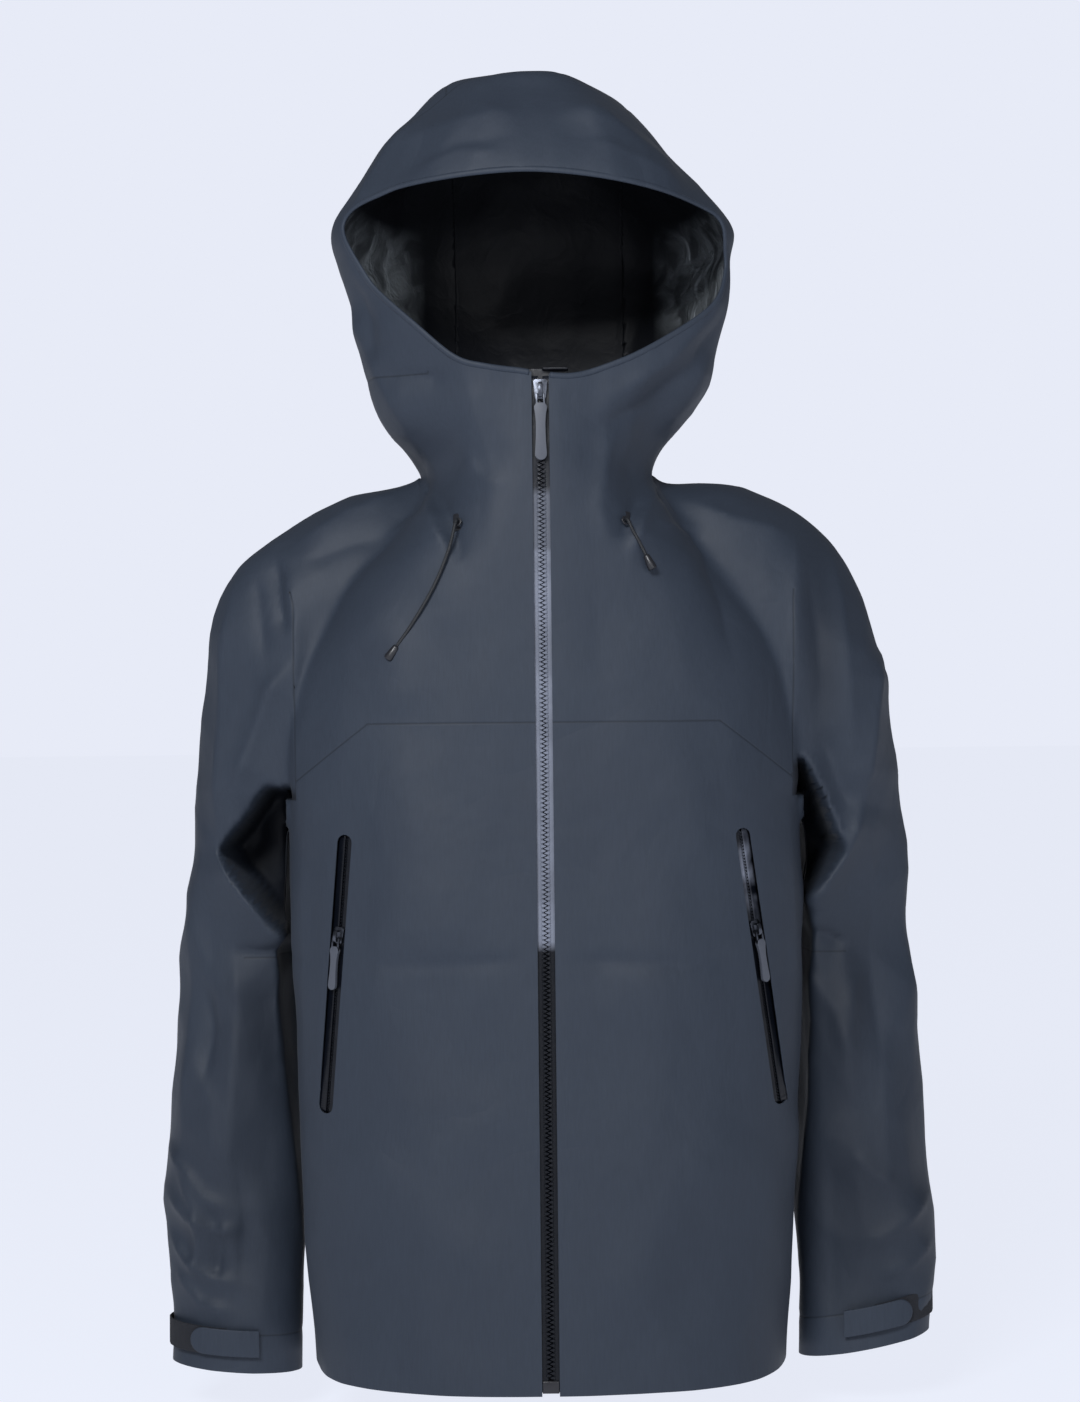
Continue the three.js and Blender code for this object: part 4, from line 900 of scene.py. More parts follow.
def shapeCloth(thing):
    points, edges = readMesh(thing)
    neck = np.exp(-(((points[:, 2] - 676) / 36) ** 2))
    shoulder = np.exp(-(((points[:, 2] - 600) / 70) ** 2)) * (np.abs(points[:, 0]) > 90)
    hood = np.clip((points[:, 2] - 700) / 30, 0, 1)
    points = relax(points, edges, ((0.22 - 0.1 * hood) + 0.2 * np.clip(neck + shoulder, 0, 1))[:, None], 8)
    writePoints(thing, points)
    normals = readNormals(thing)
    rng = np.random.default_rng(11)
    still = np.clip((np.abs(points[:, 0]) - 14) / 26, 0, 1)  # the zip lies flat
    still = np.where(normals[:, 1] < 0, still, 1.0)
    for line in pocketLines.values():
        distance, _, _ = lineDistance(points[:, (0, 2)], line)
        calm = np.clip((distance - 9) / 22, 0, 1)
        still = np.where(points[:, 1] < -30, still * calm, still)
    heights = foldHeights(points, normals) * foldGain
    heights += waves(points, rng, 7, 150, 0.9) + waves(points, rng, 7, 60, 0.3)
    for look in creases:
        heights += crumple(points, look, busyness(points))
    onSleeve = (np.abs(points[:, 0]) > torsoHalf(points[:, 1], points[:, 2], sleeveForm["gap"] / 2))
    onSleeve = np.where(points[:, 2] > 440, np.abs(points[:, 0]) > 193, onSleeve)
    recess = recessDepths(points, onSleeve)
    points = points + normals * (heights * still)[:, None]
    points[:, 1] += recess
    points = relax(points, edges, np.where(recess > 0.5, 0.4, 0.16)[:, None], 2)
    writePoints(thing, points)


shapeCloth(wholeForm)
print("folds laid")


def frontSurface(thing):
    mesh = thing.data
    tree = BVHTree.FromPolygons([v.co[:] for v in mesh.vertices], [tuple(p.vertices) for p in mesh.polygons])

    def at(x, z):
        place, normal, _, _ = tree.ray_cast(Vector(toFrame((x, -400, z))), Vector((0, 1, 0)))
        return np.array(place[:]) * 1000 + hangPoint, np.array(normal[:])

    return at


surfaceAt = frontSurface(wholeForm)

# Cutting the panels

# the edge of the hood round the face, from the zip up the left side and down the right
faceOutline = [
    (0, 760), (23.9, 758.5), (48.7, 765.1), (83.1, 780.2), (131.2, 812.7), (143.5, 840.8), (143.5, 858.8),
    (140.7, 878.8), (123.3, 889.7), (69.2, 902.1), (-9.6, 910.7), (-92.8, 905), (-120.2, 898.7),
    (-144.2, 889.3), (-150, 873.1), (-135.8, 844.7), (-123.3, 826.7), (-97.1, 801.9), (-65.2, 773.8),
    (-41.1, 766.2), (-16.5, 762.8)]


def closedCurve(points, perSpan):
    count = len(points)
    rows = np.array([points[i % count] for i in range(-1, count + 2)], dtype=float)
    out = []
    for i in range(1, count + 1):
        a, b, c, d = rows[i - 1:i + 3]
        for t in np.arange(perSpan) / perSpan:
            out.append(0.5 * (2 * b + (c - a) * t + (2 * a - 5 * b + 4 * c - d) * t**2
                              + (3 * b - a - 3 * c + d) * t**3))
    return np.array(out)


def cutAlong(work, line, axes, keep, closed=False):
    line = [np.array(p, dtype=float) for p in line]
    if closed:
        line.append(line[0])
    centres = np.array([f.calc_center_median()[:] for f in work.faces]) * 1000 + hangPoint
    layer = work.faces.layers.int["sleeve"]
    allFaces = list(work.faces)
    sleeve = isSleeve(centres, np.array([f[layer] for f in allFaces]))
    flat = centres[:, axes]
    distance, _, _ = lineDistance(flat, line)
    near = {allFaces[i] for i in np.nonzero((distance < 12) & keep(centres, sleeve))[0]}
    for a, b in zip(line[:-1], line[1:]):
        length = np.linalg.norm(b - a)
        direction = (b - a) / length
        chosen = []
        for face in near:
            if not face.is_valid:
                continue
            centre = np.array(face.calc_center_median()[:]) * 1000 + hangPoint
            offset = centre[list(axes)] - a
            along = offset @ direction
            if -6 < along < length + 6 and abs(direction[0] * offset[1] - direction[1] * offset[0]) < 9:
                chosen.append(face)
        if not chosen:
            continue
        normal = np.zeros(3)
        normal[axes[0]], normal[axes[1]] = -direction[1], direction[0]
        start = hangPoint.copy()
        start[axes[0]], start[axes[1]] = a
        edges = {e for f in chosen for e in f.edges}
        verts = {v for f in chosen for v in f.verts}
        result = bmesh.ops.bisect_plane(
            work, geom=[*verts, *edges, *chosen], dist=1e-6, plane_co=Vector(toFrame(start)),
            plane_no=Vector(normal))
        near.update(g for g in result["geom"] if isinstance(g, bmesh.types.BMFace))


armhole = 191.0
armholeLine = {"heights": (440, 590, 640, 720), "right": (191, 192, 205, 222), "left": (191, 193, 197, 204)}
neckSeam = {"front": 634.0, "rise": 0.319}
seams = {
    "back": 520, "elbow": 316, "cuffTall": 30, "zipTop": 790, "crownHalf": 70, "crownFront": -66,
    "brimHalf": 112, "brimFrom": 885,
}
# lines from the middle out to one side
yokeEdge = [(133, 498), (armhole, 454), (300, 454)]
collarEdge = [(75, 800), (85, 762), (320, 762)]
frontView, sideView = (0, 2), (1, 2)


def neckLine(y):
    return neckSeam["front"] + (y - frontAt(neckSeam["front"])) * neckSeam["rise"]


pocketSlot = 11.5


def stadium(low, high, width, steps=7):
    low, high = np.array(low, dtype=float), np.array(high, dtype=float)
    up = (high - low) / np.linalg.norm(high - low)
    right = np.array((up[1], -up[0]))
    points = []
    for centre, turn in ((high, 0), (low, np.pi)):
        for k in range(steps + 1):
            angle = turn + np.pi * k / steps
            points.append(centre + width / 2 * (right * math.cos(angle) + up * math.sin(angle)))
    return points


cuffHems = {"Right": (-13, -3), "Left": (-7, 18)}
hemProfile = [(-400, 0), (-100, 0), (-20, 5), (60, -8), (110, -16), (400, -16)]
zipHalf = 6.5


def hemHeight(y):
    ys, zs = zip(*hemProfile)
    return np.interp(y, ys, zs)


def cuffHeight(x, name):
    inner, outer = cuffHems[name]
    return inner + (np.abs(x) - 190) / 130 * (outer - inner)


def armholeAt(x, z):
    right = np.interp(z, armholeLine["heights"], armholeLine["right"])
    left = np.interp(z, armholeLine["heights"], armholeLine["left"])
    return np.where(x > 0, left, right)


def isSleeve(c, marks):
    return np.where(c[:, 2] >= sleeveForm["armpit"], np.abs(c[:, 0]) > armholeAt(c[:, 0], c[:, 2]), marks > 0)


def cutAll(thing):
    work = bmesh.new()
    work.from_mesh(thing.data)
    slots = {name: stadium(*line, pocketSlot) for name, line in pocketLines.items()}
    outline = closedCurve(faceOutline, 4)
    cutAlong(work, outline, frontView, lambda c, sleeve: c[:, 1] < -20, closed=True)
    for slot in slots.values():
        cutAlong(work, slot, frontView, lambda c, sleeve: (c[:, 1] < -20) & ~sleeve, closed=True)
    for side, name in ((-1, "right"), (1, "left")):
        line = [(side * zipHalf, -60), (side * zipHalf, seams["zipTop"])]
        cutAlong(work, line, frontView, lambda c, sleeve: c[:, 1] < -60)
        line = [(side * x, z) for x, z in zip(armholeLine[name], armholeLine["heights"])]
        cutAlong(work, line, frontView, lambda c, sleeve: c[:, 2] > 436)
        line = [(side * 186, 440), (side * 216, 440)]
        cutAlong(work, line, frontView, lambda c, sleeve: np.abs(c[:, 0]) < 204)
    cutAlong(work, hemProfile, sideView, lambda c, sleeve: ~sleeve)
    for name, side in (("Right", -1), ("Left", 1)):
        inner, outer = cuffHems[name]
        cuff = lambda c, sleeve: sleeve & (c[:, 0] * side > 0)
        for raised in (0, seams["cuffTall"]):
            line = [(side * 185, inner + raised - 5 * (outer - inner) / 130), (side * 320, outer + raised)]
            cutAlong(work, line, frontView, cuff)
        cutAlong(work, [(side * 130, seams["elbow"]), (side * 330, seams["elbow"])], frontView, cuff)
    line = [(-x, z) for x, z in reversed(yokeEdge)] + yokeEdge
    cutAlong(work, line, frontView, lambda c, sleeve: ~sleeve & (c[:, 1] < 5))
    line = [(-300, seams["back"]), (300, seams["back"])]
    cutAlong(work, line, frontView, lambda c, sleeve: ~sleeve & (c[:, 1] > 5))
    side = lambda c, sleeve: ~sleeve & (np.abs(c[:, 0]) > 60)
    cutAlong(work, [(10, -80), (10, 520)], sideView, side)
    cutAlong(work, [(5, 440), (5, 720)], sideView, side)
    cutAlong(work, [(-300, neckLine(-300)), (300, neckLine(300))], sideView,
             lambda c, sleeve: ~sleeve & (c[:, 2] > 600) & (c[:, 2] < 730))
    hood = lambda c, sleeve: ~sleeve & (c[:, 2] > neckLine(c[:, 1]) - 6)
    for side in (-1, 1):
        cutAlong(work, [(side * seams["crownHalf"], z) for z in (690, 1000)], frontView,
                 lambda c, sleeve: hood(c, sleeve) & (c[:, 1] > -70))
        cutAlong(work, [(side * seams["brimHalf"], z) for z in (seams["brimFrom"], 1000)], frontView,
                 lambda c, sleeve: hood(c, sleeve) & (c[:, 1] < -62))
        cutAlong(work, [(side * x, z) for x, z in reversed(collarEdge)], frontView,
                 lambda c, sleeve: hood(c, sleeve) & ((c[:, 1] < -66) | (np.abs(c[:, 0]) > 68)))
    cutAlong(work, [(seams["crownFront"], z) for z in (880, 1000)], sideView, hood)
    work.to_mesh(thing.data)
    work.free()
    return slots, outline


slotOutlines, openingOutline = cutAll(wholeForm)
print("seams cut", len(wholeForm.data.polygons), "faces")


def panelNames(c, marks):
    names = np.full(len(c), "", dtype=object)
    x, y, z = c.T
    sleeve = isSleeve(c, marks)
    side = np.where(x > 0, "Left", "Right")
    flat = c[:, (0, 2)]
    yokeLine = np.interp(np.abs(x), *zip(*yokeEdge))
    hood = ~sleeve & (z > neckLine(y)) & (z > 600)
    torso = ~sleeve & ~hood
    names[torso & (y < 10) & (z < yokeLine)] = "frontPanel"
    names[torso & (y < 5) & (z >= yokeLine)] = "frontYoke"
    names[torso & (names == "") & (z < seams["back"])] = "backPanel"
    names[torso & (names == "")] = "backYoke"
    collarTop = np.interp(np.abs(x), *zip(*collarEdge))
    crown = hood & (np.abs(x) < seams["crownHalf"]) & (y > seams["crownFront"])
    brim = hood & ~crown & (np.abs(x) < seams["brimHalf"]) & (y < seams["crownFront"])
    brim = brim & (z > seams["brimFrom"])
    names[hood] = "hoodSide"
    names[hood & (z < collarTop)] = "collar"
    names[crown] = "hoodCrown"
    names[brim] = "hoodBrim"
    names[sleeve] = "sleeveLower"
    names[sleeve & (z > seams["elbow"])] = "sleeveUpper"
    for name in ("Right", "Left"):
        mine = sleeve & (side == name)
        names[mine & (z < cuffHeight(x, name) + seams["cuffTall"])] = "cuff"
        names[mine & (z < cuffHeight(x, name))] = ""
    single = np.isin(names, ("backPanel", "backYoke", "hoodCrown", "hoodBrim", ""))
    names = np.where(single, names, names + side)
    names[~sleeve & (z < 60) & (z < hemHeight(y))] = ""
    names[(np.abs(x) < zipHalf) & (y < -60) & (z < seams["zipTop"])] = ""
    names[(y < -20) & insideOutline(flat, openingOutline)] = ""
    for slot in slotOutlines.values():
        names[~sleeve & (y < -20) & insideOutline(flat, slot)] = ""
    return names


def splitPanels(thing):
    mesh = thing.data
    centres = np.array([p.center[:] for p in mesh.polygons]) * 1000 + hangPoint
    marks = np.array([mark.value for mark in mesh.attributes["sleeve"].data])
    names = panelNames(centres, marks)
    points = np.array([v.co[:] for v in mesh.vertices])
    formNormals = np.array([v.normal[:] for v in mesh.vertices])
    corners = [tuple(p.vertices) for p in mesh.polygons]
    uses = {}
    for face, corner in enumerate(corners):
        if names[face]:
            for v in corner:
                uses.setdefault(v, set()).add(names[face])
    seamVerts = {v for v, owners in uses.items() if len(owners) > 1}
    panels = {}
    for name in sorted(set(names) - {""}):
        chosen = [corners[i] for i in np.nonzero(names == name)[0]]
        used = sorted({v for face in chosen for v in face})
        index = {v: i for i, v in enumerate(used)}
        made = meshObject(name, points[used], [[index[v] for v in face] for face in chosen])
        carried = made.data.attributes.new("formNormal", "FLOAT_VECTOR", "POINT")
        carried.data.foreach_set("vector", formNormals[used].ravel())
        panels[name] = (made, [index[v] for v in used if v in seamVerts])
    bpy.data.objects.remove(thing)
    return panels


panels = splitPanels(wholeForm)
for name, (panel, _) in panels.items():
    area = sum(p.area for p in panel.data.polygons)
    size = np.ptp(np.array([v.co[:] for v in panel.data.vertices]), axis=0)
    print("panel", name, len(panel.data.polygons), "area", round(area, 4), "size", np.round(size, 3))

clothThick = 0.0011
seamDip = {"depth": 0.0004, "reach": 0.0030}


def smoothAcross(mesh, outside):
    # the face side is lit as one cloth, so that the seams do not break its curve
    normals = np.zeros((len(mesh.loops), 3))
    carried = np.zeros(len(mesh.vertices) * 3)
    mesh.attributes["formNormal"].data.foreach_get("vector", carried)
    carried = carried.reshape(-1, 3)
    for polygon in mesh.polygons:
        corners = list(polygon.vertices)
        if max(corners) < outside:
            normals[list(polygon.loop_indices)] = carried[corners]
    mesh.attributes.remove(mesh.attributes["formNormal"])
    mesh.normals_split_custom_set([tuple(n) for n in normals])


def seamHidden(x, y, z):
    # some seams are bonded, or lie under a fold, with no line to see
    brim = abs(abs(x) - seams["brimHalf"]) < 2 and y < -60 and z > 880
    elbow = abs(z - seams["elbow"]) < 3 and abs(x) > 236
    cheek = 60 < x < 160 and 750 < z < 814 and y < -30
    neck = 600 < z < 700 and -200 < y < 10
    chin = abs(x) < 92 and 764 < z < 810 and y < -30
    return brim or elbow or cheek or neck or chin


def finishPanel(name, panel, seamIndices, lining):
    mesh = panel.data
    places = {i: mesh.vertices[i].co * 1000 + Vector(hangPoint) for i in seamIndices}
    seamIndices = [i for i, place in places.items() if not seamHidden(*place)]
    work = bmesh.new()
    work.from_mesh(mesh)
    loose = [v for v in work.verts if not v.link_faces]
    bmesh.ops.delete(work, geom=loose, context="VERTS")
    bmesh.ops.triangulate(work, faces=[f for f in work.faces if len(f.verts) > 4])
    work.to_mesh(mesh)
    work.free()
    points = np.array([v.co[:] for v in mesh.vertices])
    normals = np.array([v.normal[:] for v in mesh.vertices])
    distance = np.full(len(points), 0.02)
    if seamIndices:
        tree = KDTree(len(seamIndices))
        for i in seamIndices:
            tree.insert(points[i], i)
        tree.balance()
        distance = np.array([min(tree.find(p)[2], 0.02) for p in points])
        dip = seamDip["depth"] * np.exp(-((distance / seamDip["reach"]) ** 2))
        mesh.vertices.foreach_set("co", (points - normals * dip[:, None]).ravel())
    seam = mesh.attributes.new("seam", "FLOAT", "POINT")
    seam.data.foreach_set("value", distance)
    # painted shade on the sleeves' hollows and recesses, kept per point for the cloth material
    fold = mesh.attributes.new("fold", "FLOAT", "POINT")
    paintedShadeAmount = paintedFoldShade(points * 1000 + hangPoint) if name.startswith("sleeve") else np.zeros(len(points))
    fold.data.foreach_set("value", paintedShadeAmount)
    mesh.materials.append(shellCloth)
    mesh.materials.append(lining)
    smoothFaces(mesh)
    wall = panel.modifiers.new("wall", "SOLIDIFY")
    wall.thickness = clothThick
    wall.offset = -1
    wall.use_even_offset = False
    wall.material_offset = 1
    wall.material_offset_rim = 0
    outside = len(mesh.vertices)
    makeActive(panel)
    bpy.ops.object.modifier_apply(modifier="wall")
    smoothAcross(panel.data, outside)
    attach(panel, "garment")


panelCuts = {
    # node it stands for, cut width and length in metres, cut area in square metres, how it is held
    "frontPanelRight": ("front_panel_right", (0.27, 0.53), 0.120, "hung"),
    "frontPanelLeft": ("front_panel_left", (0.27, 0.53), 0.121, "hung"),
    "frontYokeRight": ("front_yoke_right", (0.22, 0.25), 0.037, "draped"),
    "frontYokeLeft": ("front_yoke_left", (0.22, 0.25), 0.037, "draped"),
    "backPanel": ("back_panel", (0.46, 0.56), 0.222, "hung"),
    "backYoke": ("back_yoke", (0.42, 0.24), 0.075, "draped"),
    "sleeveUpperRight": ("sleeve_upper_right", (0.42, 0.36), 0.075, "draped"),
    "sleeveUpperLeft": ("sleeve_upper_left", (0.42, 0.36), 0.082, "draped"),
    "sleeveLowerRight": ("sleeve_lower_right", (0.38, 0.31), 0.087, "hung"),
    "sleeveLowerLeft": ("sleeve_lower_left", (0.38, 0.31), 0.084, "hung"),
    "cuffRight": ("cuff_right", (0.29, 0.035), 0.0085, "gathered"),
    "cuffLeft": ("cuff_left", (0.29, 0.035), 0.0085, "gathered"),
    "collarRight": ("collar_right", (0.28, 0.17), 0.032, "draped"),
    "collarLeft": ("collar_left", (0.28, 0.17), 0.032, "draped"),
    "hoodSideRight": ("hood_side_right", (0.30, 0.27), 0.056, "draped"),
    "hoodSideLeft": ("hood_side_left", (0.30, 0.27), 0.053, "draped"),
    "hoodCrown": ("hood_crown", (0.14, 0.50), 0.067, "draped"),
    "hoodBrim": ("hood_brim", (0.26, 0.11), 0.022, "stretched"),
}
for name, (panel, seamIndices) in panels.items():
    nodeName, flat, cutArea, held = panelCuts[name]
    finishPanel(name, panel, seamIndices, hoodLining if name.startswith("hood") else liningCloth)
    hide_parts(nodeName)
print("panels finished")


def plainSeam(mesh):
    seam = mesh.attributes.new("seam", "FLOAT", "POINT")
    seam.data.foreach_set("value", np.full(len(mesh.vertices), 0.02))


# Rolled rim round the face

rim = {"across": 2.4, "thick": 1.6, "inset": 0.8, "sides": 14, "zipGap": 7.0}


def addFaceRim():
    path = list(closedCurve(faceOutline, 12))
    start = next(i for i in range(len(path)) if path[i][0] > rim["zipGap"])
    ordered = path[start:] + path[:start]
    ordered = [p for p in ordered if not (abs(p[0]) < rim["zipGap"] and p[1] < seams["zipTop"])]
    places, normals = [], []
    for x, z in ordered:
        place, normal = surfaceAt(x, z)
        places.append(place)
        normals.append(normal)
    places, normals = np.array(places), np.array(normals)
    for _ in range(6):
        normals[1:-1] = normals[:-2] + normals[1:-1] * 2 + normals[2:]
        normals /= np.linalg.norm(normals, axis=1)[:, None]
        places[1:-1] = (places[:-2] + places[1:-1] * 2 + places[2:]) / 4
    along = np.gradient(places, axis=0)
    along /= np.linalg.norm(along, axis=1)[:, None]
    sideways = np.cross(along, normals)
    sideways /= np.linalg.norm(sideways, axis=1)[:, None]
    middle = np.array((0, -118, 838))
    if np.mean(np.sum(sideways * (places - middle), axis=1)) < 0:
        sideways = -sideways
    centres = places + sideways * rim["inset"] - normals * 0.6
    angles = 2 * np.pi * np.arange(rim["sides"]) / rim["sides"]
    rings = [c + s * np.cos(angles)[:, None] * rim["across"] + n * np.sin(angles)[:, None] * rim["thick"]
             for c, s, n in zip(centres, sideways, normals)]
    band = loftObject("faceRim", np.array(rings))
    plainSeam(band.data)
    band.data.materials.append(shellCloth)
    smoothFaces(band.data)
    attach(band, "garment")


addFaceRim()
print("rim rolled")

# Frames of the zips: across, inward and upward axes, and the place in the garment


def makeFrame(acrossAxis, inwardAxis, upAxis, origin):
    return np.array([acrossAxis, inwardAxis, upAxis]), np.array(origin, dtype=float)


def inFrame(axes, points):
    return np.asarray(points, dtype=float) @ axes[0] + axes[1]


zipFrame = makeFrame((1, 0, 0), (0, 0.999115, -0.042068), (0, 0.042068, 0.999115), (0, -118, 760))
pocketFrames = {
    "right": makeFrame((0.802234, -0.589164, -0.096469), (0.590985, 0.8066, -0.011518),
                       (0.084598, -0.047772, 0.995269), (-160, -99.109, 309)),
    "left": makeFrame((0.7712, 0.6127, 0.1728), (-0.6215, 0.7834, -0.0041), (-0.1379, -0.1042, 0.9849),
                      (163.5, -94.391, 311)),
}


def stripObject(name, axes, columns, heights, thick, finish, ripple=0.0, seed=1):
    rng = np.random.default_rng(seed)
    heights = np.asarray(heights)
    wander = sum(np.sin(heights * 2 * np.pi / length + rng.uniform(0, 6.28)) for length in (61, 37, 23)) / 3
    points = np.array([[(x, y + ripple * w, z) for x, y in columns] for z, w in zip(heights, wander)])
    count = len(columns)
    faces = [(r * count + i, r * count + i + 1, (r + 1) * count + i + 1, (r + 1) * count + i)
             for r in range(len(heights) - 1) for i in range(count - 1)]
    strip = meshObject(name, toFrame(inFrame(axes, points.reshape(-1, 3))), faces)
    plainSeam(strip.data)
    strip.data.materials.append(finish)
    smoothFaces(strip.data)
    wall = strip.modifiers.new("wall", "SOLIDIFY")
    wall.thickness = thick / 1000
    wall.offset = -1
    makeActive(strip)
    bpy.ops.object.modifier_apply(modifier="wall")
    return strip


def mirrored(columns, side):
    return sorted((side * x, y) for x, y in columns)


# Front zip

frontZip = {
    "tape": [(1.6, 2.9), (3.2, 2.85), (5.0, 2.8), (7.0, 2.8), (8.4, 2.85), (11, 2.9), (14, 3.0)],
    "from": -758.0, "to": -1.6, "pitch": 3.4, "teethFrom": -749.0,
}


def toothShape():
    root, neck, head, tip = 3.3, 1.5, 0.1, -0.75
    return [(root, -1.25), (neck, -1.15), (head, -0.62), (tip, -0.22),
            (tip, 0.22), (head, 0.62), (neck, 1.15), (root, 1.25)]


def addTeeth(name, side, axes, first, last, pitch, shift, outer, inner, scale=1.0):
    shape = np.array(toothShape()) * (1, scale)
    verts, faces = [], []
    heights = np.arange(first + pitch / 2 + shift, last - pitch / 2, pitch)
    count = len(shape)
    middle = shape.mean(axis=0)
    for z in heights:
        base = len(verts)
        for y, size in ((outer, 0.8), (outer + 0.3, 1.0), (inner, 1.0)):
            ring = middle + (shape - middle) * size
            verts += [(side * x, y, z + up) for x, up in ring]
        for r in range(2):
            for i in range(count):
                j = (i + 1) % count
                faces.append((base + r * count + i, base + r * count + j, base + (r + 1) * count + j,
                              base + (r + 1) * count + i))
        faces.append(tuple(base + i for i in range(count))[::-1])
        faces.append(tuple(base + 2 * count + i for i in range(count)))
    row = meshObject(name, toFrame(inFrame(axes, verts)), faces)
    faceOutward(row.data)
    row.data.materials.append(zipFilm)
    makeActive(row)
    bpy.ops.object.shade_smooth_by_angle(angle=math.radians(40))
    return row


def addFrontZip():
    heights = np.arange(frontZip["from"], frontZip["to"] + 0.1, 4.0)
    for name, side, seed in (("right", -1, 3), ("left", 1, 4)):
        tape = stripObject("frontZipTape" + name.title(), zipFrame, mirrored(frontZip["tape"], side), heights,
                           0.7, zipFilm, ripple=0.16, seed=seed)
        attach(tape, "garment")
        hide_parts("front_zip_tape_" + name)
        row = addTeeth("frontZipTeeth" + name.title(), side, zipFrame, frontZip["teethFrom"], -1.6,
                       frontZip["pitch"], 0 if side > 0 else frontZip["pitch"] / 2, 1.8, 4.4)
        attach(row, "garment")
        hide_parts("front_zip_teeth_" + name)


addFrontZip()

# Pocket zips: two coated tapes whose edges meet over the coil

pocketZip = {
    "tape": [(1.3, 2.75), (2.0, 2.45), (3.0, 2.6), (4.6, 2.8), (6.2, 2.8), (9, 2.9)],
    "reach": 106.5, "coilPitch": 2.4,
}


def addPocketZips():
    for name, side in (("right", -1), ("left", 1)):
        axes = pocketFrames[name]
        heights = np.arange(-pocketZip["reach"], pocketZip["reach"] + 0.1, 3.0)
        for edge, direction, seed in (("inner", -side, 5), ("outer", side, 6)):
            tape = stripObject("pocketTape" + edge.title() + name.title(), axes,
                               mirrored(pocketZip["tape"], direction), heights, 0.7, zipFilm, ripple=0.12,
                               seed=seed)
            coil = addTeeth("pocketCoil" + edge.title() + name.title(), direction, axes,
                            -pocketZip["reach"], pocketZip["reach"], pocketZip["coilPitch"],
                            0 if direction > 0 else pocketZip["coilPitch"] / 2, 3.3, 4.8, scale=0.6)
            for piece in (tape, coil):
                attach(piece, "garment")
            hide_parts("pocket_tape_%s_%s" % (edge, name))


addPocketZips()
print("zips sewn in")

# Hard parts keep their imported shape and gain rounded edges


def copyPiece(nodeName):
    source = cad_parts[nodeName]
    words = nodeName.split("_")
    thing = bpy.data.objects.new(words[0] + "".join(w.title() for w in words[1:]), source.data.copy())
    scene.collection.objects.link(thing)
    thing.data.materials.clear()
    return thing


def refine(nodeName, finish, body, slotName, rounding, steps=3):
    thing = copyPiece(nodeName)
    thing.data.materials.append(finish)
    work = bmesh.new()
    work.from_mesh(thing.data)
    bmesh.ops.remove_doubles(work, verts=work.verts, dist=2e-6)
    bmesh.ops.dissolve_limit(work, angle_limit=math.radians(1.5), verts=work.verts, edges=work.edges)
    bmesh.ops.recalc_face_normals(work, faces=work.faces)
    work.to_mesh(thing.data)
    work.free()
    edge = thing.modifiers.new("edge", "BEVEL")
    edge.width = rounding / 1000
    edge.segments = steps
    edge.limit_method = "ANGLE"
    edge.angle_limit = math.radians(38)
    makeActive(thing)
    bpy.ops.object.modifier_apply(modifier="edge")
    bpy.ops.object.shade_smooth_by_angle(angle=math.radians(40))
    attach(thing, body)
    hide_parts(nodeName)
    return thing


hardParts = [
    # node, finish, body, slot, rounding in millimetres
    ("front_slider", sliderMetal, "front_slider", "metal", 0.35),
    ("front_pull_link", sliderMetal, "front_pull", "metal", 0.25),
    ("front_puller", pullerRubber, "front_pull", "puller", 0.7),
    ("zip_box", toothPlastic, "garment", "zip_teeth", 0.5),
]
for side in ("right", "left"):
    hardParts += [
        ("pocket_slider_" + side, sliderMetal, "pocket_slider_" + side, "metal", 0.3),
        ("pocket_pull_link_" + side, sliderMetal, "pocket_pull_" + side, "metal", 0.25),
        ("pocket_puller_" + side, pullerRubber, "pocket_pull_" + side, "puller", 0.6),
        ("cord_eyelet_" + side, mouldedPlastic, "garment", "plastic", 0.3),
        ("cord_end_" + side, mouldedPlastic, "garment", "plastic", 0.3),
        ("hood_lock_" + side, mouldedPlastic, "garment", "plastic", 0.8),
        ("hood_lock_button_" + side, mouldedPlastic, "hood_lock_button_" + side, "plastic", 0.6),
        ("hem_lock_" + side, mouldedPlastic, "garment", "plastic", 0.8),
        ("hem_lock_button_" + side, mouldedPlastic, "hem_lock_button_" + side, "plastic", 0.6),
    ]
madeParts = {nodeName: refine(nodeName, *rest) for nodeName, *rest in hardParts}
print("hard parts refined")

for name, cord in drawcords.items():
    cord.data.materials.append(cordBraid)
    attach(cord, "garment")
    if name == "hem":
        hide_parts("hem_drawcord")
    else:
        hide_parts("drawcord_" + name)

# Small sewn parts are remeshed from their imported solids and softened


def soften(nodeName, finish, body, slotName, cell, rumple, rounds):
    thing = copyPiece(nodeName)
    remesh = thing.modifiers.new("remesh", "REMESH")
    remesh.mode = "VOXEL"
    remesh.voxel_size = cell / 1000
    makeActive(thing)
    bpy.ops.object.modifier_apply(modifier="remesh")
    points, edges = readMesh(thing)
    points = relax(points, edges, 0.5, rounds)
    writePoints(thing, points)
    rng = np.random.default_rng(len(nodeName))
    points = points + readNormals(thing) * waves(points, rng, 6, 45, rumple)[:, None]
    writePoints(thing, points)
    thing.data.materials.append(finish)
    plainSeam(thing.data)
    smoothFaces(thing.data)
    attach(thing, body)
    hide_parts(nodeName)
    return thing


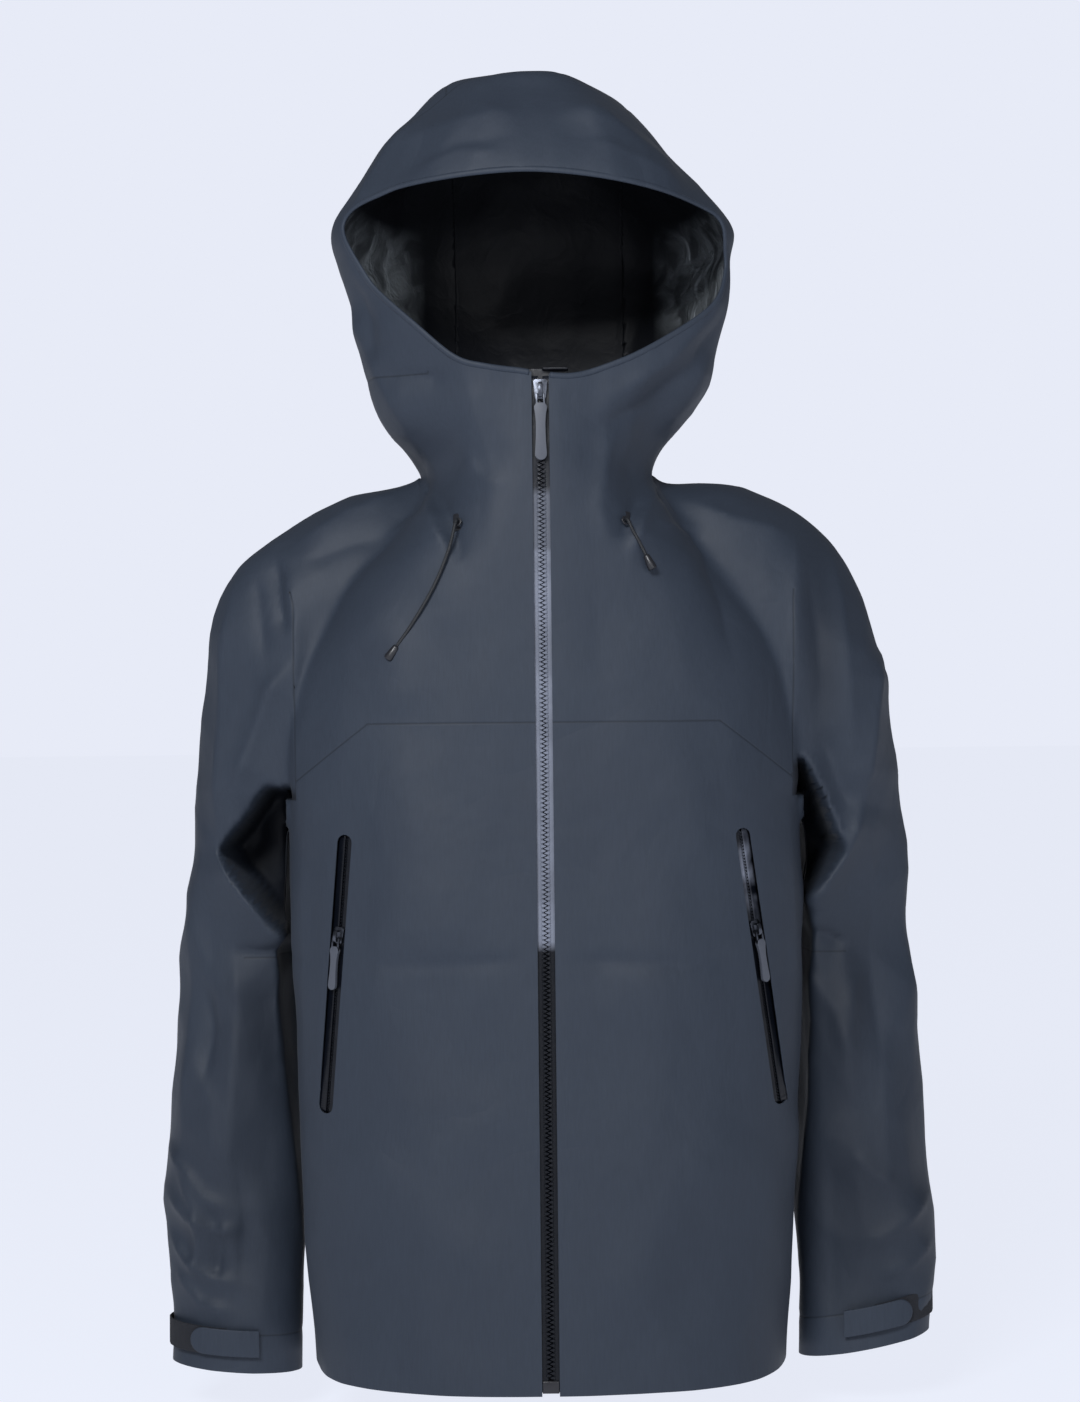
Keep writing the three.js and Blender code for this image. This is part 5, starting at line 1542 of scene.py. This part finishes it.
softParts = [
    # node, finish, body, slot, remesh cell, rumple and rounds of smoothing
    ("chin_guard", liningCloth, "garment", "lining", 0.7, 0.15, 4),
    ("hanger_loop", cordBraid, "garment", "cord", 0.6, 0.1, 3),
]
for side in ("right", "left"):
    softParts += [
        ("cuff_tab_" + side, shellCloth, "cuff_tab_" + side, "shell_fabric", 0.6, 0.05, 2),
        ("cuff_loop_patch_" + side, loopPile, "garment", "loop_patch", 0.7, 0.05, 2),
        ("pocket_bag_" + side, liningCloth, "garment", "lining", 2.4, 0.8, 3),
    ]
for nodeName, *rest in softParts:
    madeParts[nodeName] = soften(nodeName, *rest)

# The wind flap behind the zip
flapColumns = [(-15, 7.4), (-10, 7.2), (-5, 7.2), (0, 7.3), (5, 7.2), (10, 7.2), (15, 7.4)]
flap = stripObject("stormFlap", zipFrame, flapColumns, np.arange(-752, -46.2, 5.0), 1.1, liningCloth,
                   ripple=0.3, seed=9)
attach(flap, "garment")
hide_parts("storm_flap")
print("sewn parts softened")

# Floor and light

studio = {
    "backdrop": (0.80, 0.83, 0.93), "ambient": 0.14, "floor": (0.10, 0.11, 0.12), "floorGlow": 0.965,
    "floorSize": 60, "floorDrop": 0.03, "lightColour": (0.95, 0.97, 1.0),
}


def addStage():
    deselectAll()
    level = float(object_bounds()[0][2]) - studio["floorDrop"]
    bpy.ops.mesh.primitive_plane_add(size=studio["floorSize"], location=(0, 0, level))
    floor = bpy.context.active_object
    floor.name = "floor"
    material, tree, shader = newMaterial("paleFloor", 0.9)
    shader.inputs["Base Color"].default_value = (*studio["floor"], 1)
    shader.inputs["Specular IOR Level"].default_value = 0.0
    shader.inputs["Emission Color"].default_value = (*studio["backdrop"], 1)
    shader.inputs["Emission Strength"].default_value = studio["floorGlow"]
    floor.data.materials.append(material)
    world = bpy.data.worlds.new("world") if scene.world is None else scene.world
    scene.world = world
    world.use_nodes = True
    tree = world.node_tree
    background = tree.nodes["Background"]
    background.inputs["Color"].default_value = (*studio["backdrop"], 1)
    path = tree.nodes.new("ShaderNodeLightPath")
    seen = ramp(tree, path.outputs["Is Camera Ray"], 0.0, 1.0, studio["ambient"], 1.0)
    tree.links.new(seen, background.inputs["Strength"])


lights = [
    {"name": "keyBox", "place": (-900, -2850, 2100), "target": (0, 0, 600), "size": (1.0, 0.8), "power": 92},
    {"name": "fillBox", "place": (1300, -2900, 1100), "target": (0, 0, 600), "size": (1.4, 1.0), "power": 15},
]


def addLights():
    for look in lights:
        data = bpy.data.lights.new(look["name"], "AREA")
        data.shape = "RECTANGLE"
        data.size, data.size_y = look["size"]
        data.energy = look["power"]
        data.color = studio["lightColour"]
        thing = bpy.data.objects.new(look["name"], data)
        scene.collection.objects.link(thing)
        thing.location = toFrame(look["place"])
        aim = Vector(toFrame(look["target"])) - thing.location
        thing.rotation_euler = aim.to_track_quat("-Z", "Y").to_euler()


addStage()
addLights()
print("stage set")
